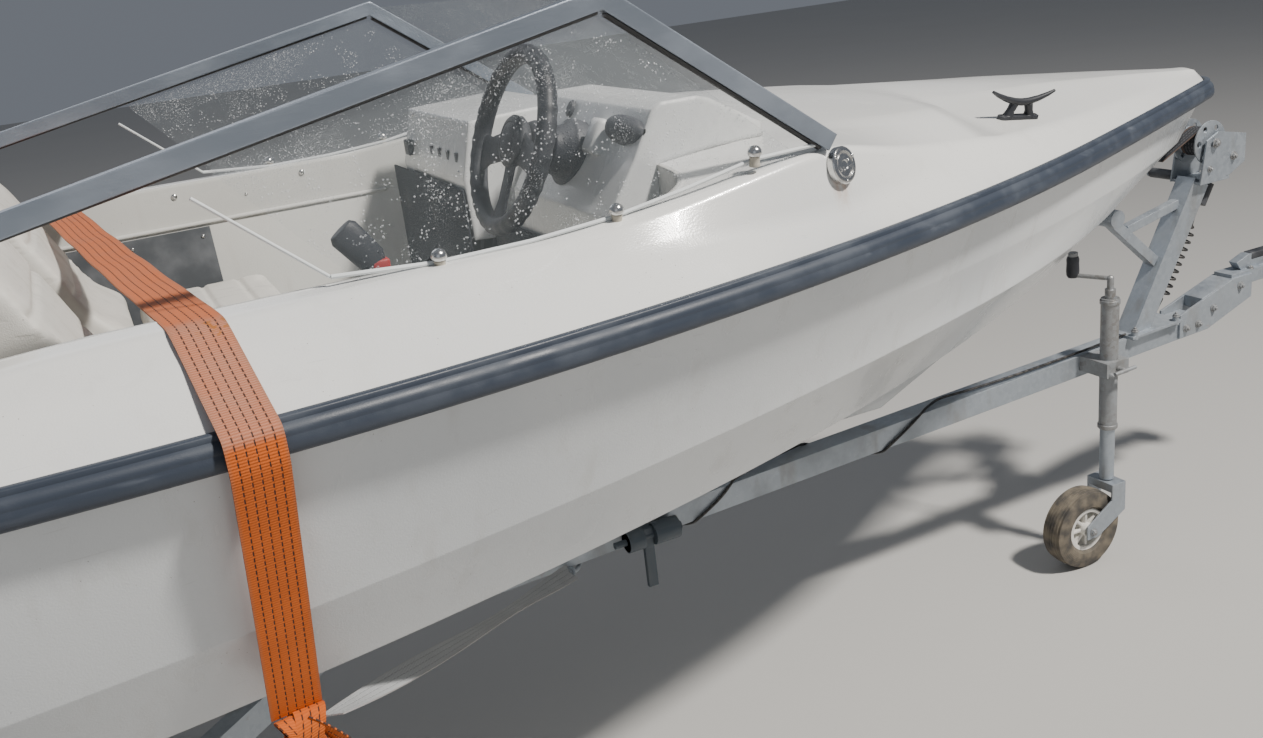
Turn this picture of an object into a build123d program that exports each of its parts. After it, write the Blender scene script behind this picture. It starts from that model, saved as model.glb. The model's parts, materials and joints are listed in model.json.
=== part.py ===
from build123d import *
from math import acos, asin, atan2, cos, degrees, hypot, pi, radians, sin, sqrt
import os

# Open speedboat with an outboard, on its road trailer.
# Millimetres. The model is laid out with x = 0 at the top of the transom, x forward,
# y to port and z up from the ground, then moved so that x = 0 is the middle of its length.

# Hull outlines, one per level: largest half breadth, where it is, radius aft of it,
# radius forward of it, where that side joins the bow curve, the tip and the nose radius
SHEER_HALF = 891
SHEER = (SHEER_HALF, 1600, 18000, 5150, 3700, 4540, 80)
FLARE = (862, 1400, 12900, 6050, 3700, 4458, 60)
KNUCKLE = (823, 1200, 7453, 7453, 3327, 4320, 40)
CHINE = (746, 1200, 6639, 6639, 2718, 4080, 30)
KEEL = (22, 1200, 200000, 200000, 2900, 3450, 15)
SHEER_Z, FLARE_Z, KNUCKLE_Z, CHINE_Z, KEEL_Z = 1265, 1135, 908, 758, 620
KNUCKLE_RISE = CHINE_RISE = 0.035
TRANSOM_RAKE = 0.18
HULL_WALL, TRANSOM_WALL = 8, 45
TRANSOM_CUT_HALF, TRANSOM_CUT_Z = 300, 1150

# Rubbing rail: rounded body with a thin seam lip on top
RAIL_DEPTH, RAIL_HEIGHT, RAIL_ROUND = 25, 42, 10
LIP_DEPTH, LIP_HEIGHT = 13, 8

# Deck, from sections across the boat: place, height at the middle, half breadth and height
# of the upper crease, inset from the sheer and height of the ridge, and of the side crease
DECK_EDGE_Z, DECK_WALL = 1290, 7
DECK_SECTIONS = (
    (0, 1318, 520, 1314, 120, 1306, 70, 1298),
    (350, 1334, 520, 1329, 150, 1323, 100, 1310),
    (1700, 1392, 520, 1391, 175, 1389, 100, 1346),
    (2360, 1400, 520, 1396, 135, 1391, 80, 1346),
    (2600, 1455, 470, 1436, 93, 1412, 75, 1346),
    (2750, 1474, 470, 1450, 62, 1433, 55, 1345),
    (2870, 1474, 470, 1453, 46, 1446, 40, 1344),
    (2950, 1470, 460, 1446, 58, 1430, 45, 1342),
    (3060, 1466, 450, 1438, 70, 1403, 48, 1340),
    (3200, 1456, 430, 1425, 85, 1379, 55, 1335),
    (3400, 1436, 364, 1411, 61, 1356, 30, 1324),
    (3870, 1388, 200, 1382, 52, 1330, 26, 1310),
    (4250, 1349, 110, 1346, 50, 1318, 25, 1304),
    (4500, 1322, 30, 1318, 29, 1305, 15, 1298),
)
FOREDECK_X, NOSE_RUN, SKIRT = 3400, 210, 30
COCKPIT_AFT, COCKPIT_FRONT, COCKPIT_HALF, COCKPIT_CORNER = 420, 2640, 665, 120

# Motor well in the aft deck
WELL_HALF, WELL_FLOOR_Z, WELL_WALL = 340, 1080, 6

# Cockpit liner, consoles and seats
FLOOR_Z, LINER_WALL, LINER_LEAN, LINER_BEND_Z = 860, 6, 95, 1290
SEAT_INNER_Y, SEAT_OUTER_Y = 90, 545
SEAT_MIDDLE_X, SEAT_HALF_LENGTH = 1510, 600

# Tie-down strap
STRAP_X, STRAP_Z, STRAP_TURN, STRAP_OFF = 1750, 1390, 6, 4.6

# Deck fittings
CAP_AT, CAP_FACES, CAP_RADIUS = (2885, -691, 1411), (0.35, -0.9, 0.2), 32
EYE_AT, EYE_RADIUS = (4395, 0, 1100), 18
BOW_CLEAT_X, BOW_CLEAT_Y, STERN_CLEAT_X, STERN_CLEAT_IN = 3552, 385, 250, 115

# Windscreen
POST_FOOT = (2867, 680, 1452)
SCREEN_CORNER = (2481, 680, 1727)
RAIL_END_X = 640
FRAME_WIDTH, FRAME_DEPTH = 24, 30
GLASS = 5
GLASS_AFT_TOP_X, GLASS_AFT_FOOT_X = 1880, 2060
GLASS_BULGE_FOOT, GLASS_BULGE_TOP = 168, 150

# Helm
STEER_CENTRE = (2466, -250, 1484)
STEER_TILT = 20
STEER_RADIUS, STEER_RIM = 160, 15

# Outboard
TILT_X, TILT_Z = -25, 1215
SWIVEL_X = -130
SWIVEL_SHAFT, TILT_PIN = 18, 12
PLATE_Y, PLATE = 100, 16
LEG_X = -262
PLATE_Z = 640
PROP_X, PROP_Z, PROP_SHAFT = -372, 470, 10
COWL_FRONT, COWL_BASE, COWL_TOP = -90, 1308.3, 1745

# Trailer
DRAWBAR = 60
DRAWBAR_RISE = 0.04
DRAWBAR_X, DRAWBAR_TOP = 4079, 596
DRAWBAR_FRONT, DRAWBAR_AFT = 4560, 220
SIDE_Y, SIDE_WIDTH, SIDE_HEIGHT, RAILS_AFT = 600, 40, 60, 150
SPLAY_AFT, SPLAY_FRONT = 1300, 1950
CROSS_XS = (300, 1050)
AXLE_X, AXLE_Z = 1230, 345
WHEEL_X, WHEEL_Y, WHEEL_RADIUS, WHEEL_WIDTH, RIM_RADIUS = 1100, 780, 281, 145, 165
STUB_RADIUS, FIT = 25, 0.05
BUNK_Y, BUNK_AFT, BUNK_FRONT = 420, 260, 1850
ROLLER_XS = (420, 1500, 2800)
ROLLER_RADIUS, ROLLER_PIN = 33, 8
ROLLER_Z = KEEL_Z - ROLLER_RADIUS - 0.3
JOCKEY_X, JOCKEY_Y = 4145, -95
JOCKEY_TUBE, JOCKEY_LEG = 24, 20
JOCKEY_WHEEL_RADIUS, JOCKEY_WHEEL_WIDTH, JOCKEY_TRAIL = 115, 70, 95
WINCH_FOOT = (4347, 0, 627)
WINCH_TOP = (4557, 0, 1004)
WINCH_AXLE = (4574, 0, 1111)
COUPLING_X, HEAD_RADIUS = 4950, 42
SOCKET_RADIUS, SOCKET_LOW, SOCKET_TOP = 25.2, 615, 668
DRUM, CRANK = 38, 105

# Middle of the length, from the cowl's back to the coupling's front
COWL_BACK, COUPLING_FRONT = COWL_FRONT - 405, COUPLING_X + HEAD_RADIUS
X_MID = (COWL_BACK + COUPLING_FRONT) / 2

os.makedirs("parts", exist_ok=True)


def save(name, shape):
    """Write one node in the shared frame."""
    shape = Pos(-X_MID, 0, 0) * shape
    shape.label = name
    export_step(shape, f"parts/{name}.step")


def block(x0, x1, y0, y1, z0, z1):
    """A box between two corners."""
    return Pos((x0 + x1) / 2, (y0 + y1) / 2, (z0 + z1) / 2) * Box(x1 - x0, y1 - y0, z1 - z0)


def rise_from(wire, height):
    """A prism straight up from a level outline."""
    return extrude(Face(wire), height, dir=(0, 0, 1))


def beam(start, end, width, height, wall=0):
    """A straight box section between two points, hollow when it has a wall."""
    run = Vector(*end) - Vector(*start)
    across = Vector(0, 0, 1).cross(run)
    across = across.normalized() if across.length > 1 else Vector(0, 1, 0)
    plane = Plane(origin=start, x_dir=across, z_dir=run)
    section = plane * Rectangle(width, height)
    if wall:
        section -= plane * Rectangle(width - 2 * wall, height - 2 * wall)
    return extrude(section, run.length, dir=run.normalized())


def rod(start, end, radius, bore=0):
    """A round bar or tube between two points."""
    run = Vector(*end) - Vector(*start)
    plane = Plane(origin=start, z_dir=run)
    section = plane * Circle(radius)
    if bore:
        section -= plane * Circle(bore)
    return extrude(section, run.length, dir=run.normalized())


def mirrored(shape):
    """The same piece on the other side of the boat."""
    return mirror(shape, about=Plane.XZ)


def both(shape):
    """A piece and its twin on the other side."""
    return Compound([shape, mirrored(shape)])


def outline_arcs(half, beam_x, aft_radius, radius, join, tip, nose, grow=0.0):
    """Centres and radii of an outline's aft side, fore side and bow, and where they meet."""
    half, aft_radius, radius, tip = half + grow, aft_radius + grow, radius + grow, tip + grow
    nose = max(nose + grow, 6)
    lean = asin((join - beam_x) / radius)
    join_y = half - radius + radius * cos(lean)
    dx, dy = tip - nose - join, -join_y
    bow = (nose**2 - dx**2 - dy**2) / (2 * (dx * sin(lean) + dy * cos(lean) + nose))
    bow_x, bow_y = join - bow * sin(lean), join_y - bow * cos(lean)
    way = hypot(tip - nose - bow_x, bow_y)
    ux, uy = (tip - nose - bow_x) / way, -bow_y / way
    if nose > bow:
        ux, uy = -ux, -uy
    meet = (tip - nose + nose * ux, nose * uy)
    turn = (pi / 2 - lean + atan2(uy, ux)) / 2
    mid_bow = (bow_x + bow * cos(turn), bow_y + bow * sin(turn))
    return half, aft_radius, radius, (join, join_y), (bow_x, bow_y, bow), mid_bow, meet, tip, nose


def outline_half(x, level, grow=0.0):
    """Half breadth of an outline at a place along the boat."""
    half, aft_radius, radius, join, bow, _, meet, tip, nose = outline_arcs(*level, grow)
    beam_x = level[1]
    if x < beam_x:
        return half - aft_radius + sqrt(aft_radius**2 - (x - beam_x) ** 2)
    if x < join[0]:
        return half - radius + sqrt(radius**2 - (x - beam_x) ** 2)
    if x < meet[0]:
        return bow[1] + sqrt(bow[2] ** 2 - (x - bow[0]) ** 2)
    return sqrt(max(nose**2 - (x - tip + nose) ** 2, 0))


def hull_outline(aft, level, grow=0.0, z=0.0, rise=0.0):
    """Closed outline of the hull at one level, all arcs, grown outward by grow."""
    _, _, _, join, _, mid_bow, meet, tip, _ = outline_arcs(*level, grow)
    beam_x = level[1]

    def side_point(x, sign):
        return (x, sign * outline_half(x, level, grow))

    def edges(sign):
        points = [side_point(x, sign) for x in (aft, (aft + beam_x) / 2, beam_x, (beam_x + join[0]) / 2)]
        joint = (join[0], sign * join[1])
        return (
            ThreePointArc(*points[:3]),
            ThreePointArc(points[2], points[3], joint),
            ThreePointArc(joint, (mid_bow[0], sign * mid_bow[1]), (meet[0], sign * meet[1])),
        )

    port, starboard = edges(1), edges(-1)
    front = ThreePointArc((meet[0], meet[1]), (tip, 0), (meet[0], -meet[1]))
    stern = Line(side_point(aft, -1), side_point(aft, 1))
    wire = Wire([stern, *port, front, *reversed(starboard)])
    slope = Plane(origin=(0, 0, z), x_dir=(1, 0, rise), z_dir=(-rise, 0, 1))
    return slope * wire


def rake_x(z):
    """Where the transom is at a height."""
    return (SHEER_Z - z) * TRANSOM_RAKE


def sheer(grow=0.0, z=SHEER_Z, aft=0.0):
    return hull_outline(aft, SHEER, grow, z)


def hull_form(wall=0.0):
    """The hull's outer form, or the hollow inside a wall."""
    levels = (
        (SHEER, SHEER_Z, 0), (FLARE, FLARE_Z, 0), (KNUCKLE, KNUCKLE_Z, KNUCKLE_RISE),
        (CHINE, CHINE_Z + wall, CHINE_RISE), (KEEL, KEEL_Z + 1.5 * wall, 0),
    )
    outlines = []
    for level, z, rise in levels:
        grow = -0.5 * wall if level is KEEL else -wall
        aft = rake_x(z) + (TRANSOM_WALL if wall else 0)
        outlines.append(Face(hull_outline(aft, level, grow, z, rise)))
    return loft(outlines, ruled=True)


def build_hull():
    hull = hull_form() - hull_form(HULL_WALL)
    hull -= block(-50, 80, -TRANSOM_CUT_HALF, TRANSOM_CUT_HALF, TRANSOM_CUT_Z, SHEER_Z + 10)
    return hull


def build_rub_rail():
    """Rubbing rail with bevelled edges and its seam lip."""
    low, high = SHEER_Z - RAIL_HEIGHT / 2, SHEER_Z + RAIL_HEIGHT / 2
    inset = RAIL_DEPTH - RAIL_ROUND
    levels = ((inset, low), (RAIL_DEPTH, low + RAIL_ROUND), (RAIL_DEPTH, high - RAIL_ROUND), (inset, high))
    body = loft([Face(sheer(grow, z)) for grow, z in levels], ruled=True)
    lip = rise_from(sheer(LIP_DEPTH, high - 1), LIP_HEIGHT + 1)
    return body + lip - rise_from(sheer(0.1, low - 5, aft=-60), RAIL_HEIGHT + LIP_HEIGHT + 10)


def deck_row(x):
    """One deck section at any place: the sections' values in between."""
    for low, high in zip(DECK_SECTIONS, DECK_SECTIONS[1:]):
        if x <= high[0]:
            break
    part = (x - low[0]) / (high[0] - low[0])
    return [a + part * (b - a) for a, b in zip(low, high)]


def deck_slope(x, y):
    """Height and slope in degrees of the deck beside its upper crease."""
    _, _, crease_y, crease_z, ridge_in, ridge_z, side_in, side_z = deck_row(x)
    half = outline_half(x, SHEER)
    points = ((crease_y, crease_z), (half - ridge_in, ridge_z), (half - side_in, side_z), (half, DECK_EDGE_Z))
    for (inner_y, inner_z), (outer_y, outer_z) in zip(points, points[1:]):
        if y <= outer_y:
            break
    fall = (inner_z - outer_z) / (outer_y - inner_y)
    return inner_z - fall * (y - inner_y), degrees(atan2(fall, 1))


def deck_section(row, wall):
    """Face across the boat at one section, its sides carried out past the sheer."""
    x, middle_z, crease_y, crease_z, ridge_in, ridge_z, side_in, side_z = row
    half = outline_half(x, SHEER)
    fall = (side_z - DECK_EDGE_Z) / side_in
    side = [(crease_y, crease_z), (half - ridge_in, ridge_z), (half - side_in, side_z),
            (half + SKIRT, DECK_EDGE_Z - SKIRT * fall), (half + SKIRT, SHEER_Z - 2 * SKIRT)]
    port = [(y - wall, z - wall) for y, z in side]
    turned = [(-y, z) for y, z in port]
    plane = Plane(origin=(x, 0, 0), x_dir=(0, 1, 0), z_dir=(1, 0, 0))
    top = ThreePointArc(turned[0], (0, middle_z - wall), port[0])
    rest = Polyline(*port, *reversed(turned))
    return Face(plane * Wire([top, *rest.edges()]))


def deck_form(wall=0.0):
    """The deck's outer form, or the hollow under it."""
    below = 2 if wall else 0
    rows = [deck_row(max(DECK_SECTIONS[0][0], wall))] + list(DECK_SECTIONS[1:])
    aft = [row for row in rows if row[0] <= FOREDECK_X]
    fore = [row for row in rows if row[0] >= FOREDECK_X]
    tip_x = SHEER[5] + SKIRT
    last = deck_section(fore[-1], wall)
    prism = rise_from(sheer(-wall, SHEER_Z - below, aft=wall), 400)
    base = rise_from(sheer(-wall, SHEER_Z - below, aft=wall), DECK_EDGE_Z - SHEER_Z - wall + below)
    nose = loft([Face(sheer(-wall, DECK_EDGE_Z - wall, aft=wall)),
                 Face(sheer(-wall - NOSE_RUN, DECK_EDGE_Z - wall + NOSE_RUN, aft=wall))], ruled=True)
    side = loft([deck_section(row, wall) for row in aft], ruled=True)
    bow = loft([deck_section(row, wall) for row in fore] + [Pos(tip_x - fore[-1][0], 0, -8) * last], ruled=True)
    return (side & prism) + (bow & (base + nose))


def cockpit_outline(grow=0.0, z=0.0):
    """The cockpit opening in plan."""
    middle = (COCKPIT_AFT + COCKPIT_FRONT) / 2
    length, width = COCKPIT_FRONT - COCKPIT_AFT + 2 * grow, 2 * (COCKPIT_HALF + grow)
    return Pos(middle, 0, z) * RectangleRounded(length, width, max(COCKPIT_CORNER + grow, 15)).wire()


def coaming_z(x):
    """Height of the coaming's ridge."""
    return deck_row(x)[5]


def side_profile(points, y_low, y_high):
    """A plate or moulding from its outline seen from the side."""
    face = Face(Polyline(*[(x, y_low, z) for x, z in points], close=True))
    return extrude(face, y_high - y_low, dir=(0, 1, 0))


def build_deck(deck_solid):
    deck = deck_solid - deck_form(DECK_WALL)
    well = block(-50, COCKPIT_AFT - 60, -WELL_HALF, WELL_HALF, SHEER_Z - 50, 1600)
    return deck - well


def build_motor_well():
    """Open tray in the aft deck behind the transom cut-out."""
    aft, front = rake_x(WELL_FLOOR_Z) + TRANSOM_WALL + 1, COCKPIT_AFT - 60.3
    half = WELL_HALF - 0.3
    tray = block(aft, front, -half, half, WELL_FLOOR_Z, SHEER_Z + 20)
    tray -= block(aft - 50, front - WELL_WALL, -half + WELL_WALL, half - WELL_WALL,
                  WELL_FLOOR_Z + WELL_WALL, 1600)
    for side in (-1, 1):
        tray -= Pos(aft + 60, side * (half - 60), WELL_FLOOR_Z) * Cylinder(14, 60)
    return tray


def tub(wall):
    """The cockpit tub's outer form, or the hollow inside its wall."""
    top = cockpit_outline(-0.3 - wall, LINER_BEND_Z)
    low = cockpit_outline(-LINER_LEAN - wall, FLOOR_Z + wall)
    return loft([Face(low), Face(top)], ruled=True) + rise_from(top, 300)


def build_liner(consoles, deck_whole):
    """Cockpit tub: floor, sides that lean out and an upright band up to the coaming's top."""
    over_deck = block(0, 3000, -SHEER_HALF, SHEER_HALF, LINER_BEND_Z, 2000) - deck_whole
    liner = tub(0) - tub(LINER_WALL) - over_deck - consoles
    return max(liner.solids(), key=lambda solid: solid.volume)


def screen_rail_z(x):
    """Height of the side rail's middle line."""
    foot = coaming_z(RAIL_END_X) + FRAME_DEPTH / 2
    return foot + (SCREEN_CORNER[2] - foot) * (x - RAIL_END_X) / (SCREEN_CORNER[0] - RAIL_END_X)


def build_screen_frames(deck_solid):
    """Raked posts, long side rails and the rails' feet."""
    y = SCREEN_CORNER[1]
    corner = (SCREEN_CORNER[0], y, SCREEN_CORNER[2])
    post = beam(corner, (POST_FOOT[0], y, POST_FOOT[2]), FRAME_WIDTH, FRAME_DEPTH)
    rail = beam((RAIL_END_X, y, screen_rail_z(RAIL_END_X)), corner, FRAME_WIDTH, FRAME_DEPTH)
    joint = Pos(*corner) * Rot(90, 0, 0) * Cylinder(FRAME_DEPTH / 2, FRAME_WIDTH)
    pad = block(RAIL_END_X - 30, RAIL_END_X + 40, y - 13, y + 16, 1300, screen_rail_z(RAIL_END_X))
    return both(post + rail + joint + pad - deck_solid)


def build_windscreen(deck_solid):
    """Curved front pane and the two flat triangular side panes."""
    y = SCREEN_CORNER[1]
    drop = FRAME_DEPTH / 2 + 2
    foot_xs = (GLASS_AFT_FOOT_X, 2360, 2600, 2750, POST_FOOT[0] - 55)
    side = side_profile([
        *((x, coaming_z(x) - 5) for x in foot_xs),
        (SCREEN_CORNER[0] - 8, SCREEN_CORNER[2] - drop - 8),
        (GLASS_AFT_TOP_X, screen_rail_z(GLASS_AFT_TOP_X) - drop),
    ], y - GLASS / 2, y + GLASS / 2) - deck_solid
    inner_y = y - FRAME_WIDTH / 2 - 0.3

    def rim(x, z, bulge):
        outer = ThreePointArc((x, -inner_y, z), (x + bulge, 0, z), (x, inner_y, z))
        inner = ThreePointArc((x - GLASS, inner_y, z), (x + bulge - GLASS, 0, z), (x - GLASS, -inner_y, z))
        return Face(Wire([outer, Line(outer @ 1, inner @ 0), inner, Line(inner @ 1, outer @ 0)]))
    front = loft([
        rim(POST_FOOT[0] + 15, POST_FOOT[2] - 12, GLASS_BULGE_FOOT),
        rim(SCREEN_CORNER[0], SCREEN_CORNER[2], GLASS_BULGE_TOP),
    ], ruled=True) - deck_solid
    return Compound([front, side, mirrored(side)])


def build_helm_console():
    """Starboard dash moulding with its instrument hood."""
    seat_x, rest_x = 2612, 2850
    dash = side_profile([
        (seat_x, 1170), (2525, 1195), (2530, 1360), (2590, 1450), (2640, 1540), (2735, 1540),
        (rest_x, 1475), (rest_x, 1330), (seat_x, 1330),
    ], -500, -50)
    dash = chamfer(dash.edges().filter_by(Axis.Y).group_by(Axis.Z)[-1], 12)
    return dash - extrude(steer_frame().offset(-200) * Circle(10 + FIT), 200)


def build_port_console():
    """Port dash moulding with the glove box."""
    seat_x, rest_x = 2612, 2830
    dash = side_profile([
        (seat_x, 1230), (2475, 1240), (2470, 1370), (2500, 1490), (2730, 1500),
        (rest_x, 1465), (rest_x, 1330), (seat_x, 1330),
    ], 90, 540)
    return dash - block(2400, 2480, 160, 470, 1262, 1352)


def steer_frame():
    """Plane at the steering wheel, its z along the shaft towards the driver."""
    lean = radians(STEER_TILT)
    return Plane(origin=STEER_CENTRE, x_dir=(0, 1, 0), z_dir=(-cos(lean), 0, sin(lean)))


def build_helm_instruments(console):
    """Steering boss, half-round pod and the oval switch."""
    frame = steer_frame()
    boss = extrude(frame.offset(-150) * Circle(44), 45) + extrude(frame.offset(-105) * Circle(36), 30)
    boss -= extrude(frame.offset(-200) * Circle(10 + FIT), 200)
    pod = Pos(2690, -400, 1540) * Rot(90, 0, 0) * Cylinder(46, 92)
    pod &= block(2600, 2800, -500, 0, 1540, 1600)
    switch = Pos(2660, -130, 1548) * Box(50, 34, 16)
    return Compound([s for s in ((boss - console), (pod - console), (switch - console))])


def build_steering_wheel():
    frame = steer_frame()
    rim = frame.location * Torus(STEER_RADIUS, STEER_RIM)
    hub = extrude(frame.offset(-28) * Circle(36), 40)
    shaft = extrude(frame.offset(-145) * Circle(10), 130)
    spokes = []
    for angle in (90, 210, 330):
        bar = Rot(0, 0, angle) * Pos(STEER_RADIUS / 2, 0, -6) * Box(STEER_RADIUS, 30, 10)
        spokes.append(frame.location * bar)
    wheel = rim + hub + shaft
    for bar in spokes:
        wheel += bar
    return wheel


def build_throttle():
    """Side-mounted control box with its lever."""
    box = block(2050, 2140, -658.4, -600, 1290, 1385)
    lever = beam((2095, -585, 1350), (2065, -585, 1430), 18, 12)
    hub = Pos(2095, -590, 1350) * Rot(90, 0, 0) * Cylinder(22, 30)
    return box + lever + hub


def build_front_seats():
    """Back-to-back lounge seats, one each side."""
    ends = [
        (SEAT_HALF_LENGTH - 20, FLOOR_Z + LINER_WALL + 0.3), (SEAT_HALF_LENGTH, 1110),
        (SEAT_HALF_LENGTH - 20, 1165), (270, 1180), (190, 1240), (70, 1500), (30, 1520),
    ]
    mid = SEAT_MIDDLE_X
    points = [(mid + x, z) for x, z in ends] + [(mid - x, z) for x, z in reversed(ends)]
    seat = side_profile(points, SEAT_INNER_Y, SEAT_OUTER_Y)
    seat = fillet(seat.edges().filter_by(Axis.Y).filter_by_position(Axis.Z, 1100, 1600), 18)
    return both(seat)


def build_rear_bench():
    """Full-width bench against the aft end of the cockpit."""
    low = FLOOR_Z + LINER_WALL + 0.3
    back = [(400, low), (680, low), (700, 1100), (680, 1165), (580, 1175), (540, 1270), (500, 1295), (400, 1280)]
    bench = side_profile(back, -560, 560)
    bench = fillet(bench.edges().filter_by(Axis.Y).filter_by_position(Axis.Z, 1090, 1400), 15)
    return bench & tub(LINER_WALL + 0.3)


def build_dark_panels():
    """Knee panel under the dash and the dark board on the port side."""
    lean = degrees(atan2(LINER_LEAN, LINER_BEND_Z - FLOOR_Z))

    def inset(z):
        return LINER_LEAN * (LINER_BEND_Z - z) / (LINER_BEND_Z - FLOOR_Z) + LINER_WALL + 5
    knee = Pos(COCKPIT_FRONT - inset(1010), 0, 1010) * Rot(0, lean, 0) * Box(6, 840, 260)
    board = Pos(1820, COCKPIT_HALF - inset(1145), 1145) * Rot(-lean, 0, 0) * Box(360, 6, 280)
    return Compound([knee, board])


def build_cleats(deck_solid):
    """Two-horned cleat on the starboard foredeck and one on each quarter."""
    profile = [(-55, -14), (55, -14), (55, 8), (28, 8), (24, 30), (88, 52), (84, 60), (0, 40),
               (-84, 60), (-88, 52), (-24, 30), (-28, 8), (-55, 8)]
    cleat = side_profile(profile, -11, 11)
    z, lean = deck_slope(BOW_CLEAT_X, BOW_CLEAT_Y)
    bow = Pos(BOW_CLEAT_X, -BOW_CLEAT_Y, z) * Rot(lean, 5, 0) * cleat - deck_solid
    stern_y = outline_half(STERN_CLEAT_X, SHEER) - STERN_CLEAT_IN
    z, lean = deck_slope(STERN_CLEAT_X, stern_y)
    stern = Pos(STERN_CLEAT_X, stern_y, z) * Rot(-lean, 0, 0) * cleat - deck_solid
    return Compound([bow, stern, mirrored(stern)])


def build_deck_fittings(deck_solid):
    """Round deck cap and the bow eye at the stem."""
    cap_plane = Plane(origin=CAP_AT, z_dir=CAP_FACES)
    cap = extrude(cap_plane.offset(-30) * Circle(CAP_RADIUS), 36) - deck_solid
    eye = Pos(*EYE_AT) * Rot(90, 0, 0) * Torus(EYE_RADIUS, 5)
    return Compound([cap, eye - hull_form()])


def build_tie_down_strap():
    """Wide webbing band over the boat, round both rails and down to a knot at each chine."""
    thick, width = 3, 75
    strap = block(-width / 2, width / 2, -700, 700, 1, 1 + thick)
    for side in (-1, 1):
        across = outline_half(STRAP_X - side * SHEER_HALF * sin(radians(STRAP_TURN)), SHEER, RAIL_DEPTH)
        rail_y = across / cos(radians(STRAP_TURN)) + STRAP_OFF
        inner = [(700, 1), (735, 0), (rail_y - 16, -91), (rail_y, -102), (rail_y, -148), (rail_y - 146, -590)]
        outer = [(y + thick * lift, z + thick) for (y, z), lift in zip(inner[:4], (0, 0.3, 0.5, 1))]
        outer += [(y + thick, z) for y, z in inner[4:]]
        points = [(-width / 2, side * y, z) for y, z in outer + list(reversed(inner))]
        strap += extrude(Face(Polyline(*points, close=True)), width, dir=(1, 0, 0))
        strap += Pos(4, side * (rail_y - 136), -606) * Rot(side * 15, 0, 0) * Box(110, 46, 70)
    return Pos(STRAP_X, 0, STRAP_Z) * Rot(0, 0, STRAP_TURN) * strap


def build_lashing_strap(knot):
    """Narrow webbing from the wide strap's knot to the drawbar."""
    return beam((1880, -748, 775), (2540, -46, 474), 45, 3) - knot


def build_engine_clamp():
    """Clamp bracket that hooks over the transom, with the tilt bearings."""
    low, hook, inside = 900, TRANSOM_CUT_Z + 0.3, TRANSOM_WALL + 0.3
    outline = [(rake_x(low) - 0.3, low), (rake_x(hook) - 0.3, hook), (rake_x(hook) + inside, hook),
               (rake_x(1100) + inside, 1100), (rake_x(1100) + inside + 18, 1100),
               (rake_x(1100) + inside + 18, 1190), (22, 1245), (-50, 1245), (-50, 1190), (0, 960),
               (rake_x(low) - 36, low)]
    plate = side_profile(outline, PLATE_Y, PLATE_Y + PLATE)
    pin = Pos(TILT_X, 0, TILT_Z) * Rot(90, 0, 0) * Cylinder(TILT_PIN + FIT, 400)
    foot = [(rake_x(low) - 0.3, low), (rake_x(low) - 36, low), (rake_x(960) - 36, 960), (rake_x(960) - 0.3, 960)]
    clamp = plate + mirrored(plate) + side_profile(foot, -PLATE_Y, PLATE_Y)
    for y in (-PLATE_Y - 8, PLATE_Y + 8):
        clamp += rod((92, y, 1130), (150, y, 1130), 9)
        clamp += rod((150, y - 22, 1130), (150, y + 22, 1130), 5)
    return clamp - pin


def build_engine_swivel():
    """Swivel bracket that tilts, with its pin and steering tube."""
    tube = Pos(SWIVEL_X, 0, 1085) * Cylinder(32, 300)
    web = side_profile([(TILT_X - 30, TILT_Z - 20), (TILT_X, TILT_Z - 20), (TILT_X, TILT_Z + 18),
                        (SWIVEL_X, 1225), (SWIVEL_X, 950), (-60, 950), (-50, 1100)], -60, 60)
    pin = Pos(TILT_X, 0, TILT_Z) * Rot(90, 0, 0) * Cylinder(TILT_PIN, 2 * (PLATE_Y + PLATE + 6))
    barrel = Pos(TILT_X, 0, TILT_Z) * Rot(90, 0, 0) * Cylinder(22, 2 * (PLATE_Y - 6))
    body = tube + web + pin + barrel
    return body - Pos(SWIVEL_X, 0, 1085) * Cylinder(SWIVEL_SHAFT + FIT, 400)


def leg_section(z, length, width, centre=LEG_X):
    return Face(Pos(centre, 0, z) * Ellipse(length / 2, width / 2).wire())


def build_engine_leg():
    """Drive leg: swivel shaft, mounts, column, plate, gear case and skeg."""
    shaft = Pos(SWIVEL_X, 0, 1085) * Cylinder(SWIVEL_SHAFT, 380)
    mounts = block(LEG_X, SWIVEL_X + 25, -40, 40, 1245, 1289) + block(LEG_X, SWIVEL_X + 25, -35, 35, 880, 925)
    column = loft([leg_section(1290, 170, 120), leg_section(900, 150, 90), leg_section(PLATE_Z, 200, 60),
                   leg_section(PROP_Z, 190, 44)], ruled=True)
    pan = block(COWL_BACK + 40, COWL_FRONT - 30, -130, 130, 1288, 1308)
    plate = Pos(LEG_X - 30, 0, PLATE_Z + 5) * extrude(Ellipse(180, 95), 5, both=True)
    case = rod((LEG_X + 120, 0, PROP_Z), (PROP_X + 0.5, 0, PROP_Z), 40)
    nose = Pos(LEG_X + 120, 0, PROP_Z) * Sphere(40)
    skeg = side_profile([(LEG_X + 70, PROP_Z - 30), (LEG_X - 60, PROP_Z - 30), (LEG_X - 60, 335),
                         (LEG_X, 335)], -6, 6)
    shaft += rod((PROP_X + 1, 0, PROP_Z), (PROP_X - 70, 0, PROP_Z), PROP_SHAFT)
    return shaft + mounts + column + pan + plate + case + nose + skeg


def build_engine_cowl():
    middle = (COWL_FRONT + COWL_BACK) / 2
    length = COWL_FRONT - COWL_BACK

    def level(z, scale, shift=0):
        return Face(Pos(middle + shift, 0, z) * RectangleRounded(length * scale, 300 * scale, 70 * scale).wire())
    cowl = loft([level(COWL_BASE, 0.92), level(COWL_BASE + 90, 1), level(COWL_BASE + 300, 0.96),
                 level(COWL_TOP, 0.72, 15)], ruled=True)
    return cowl


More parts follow.
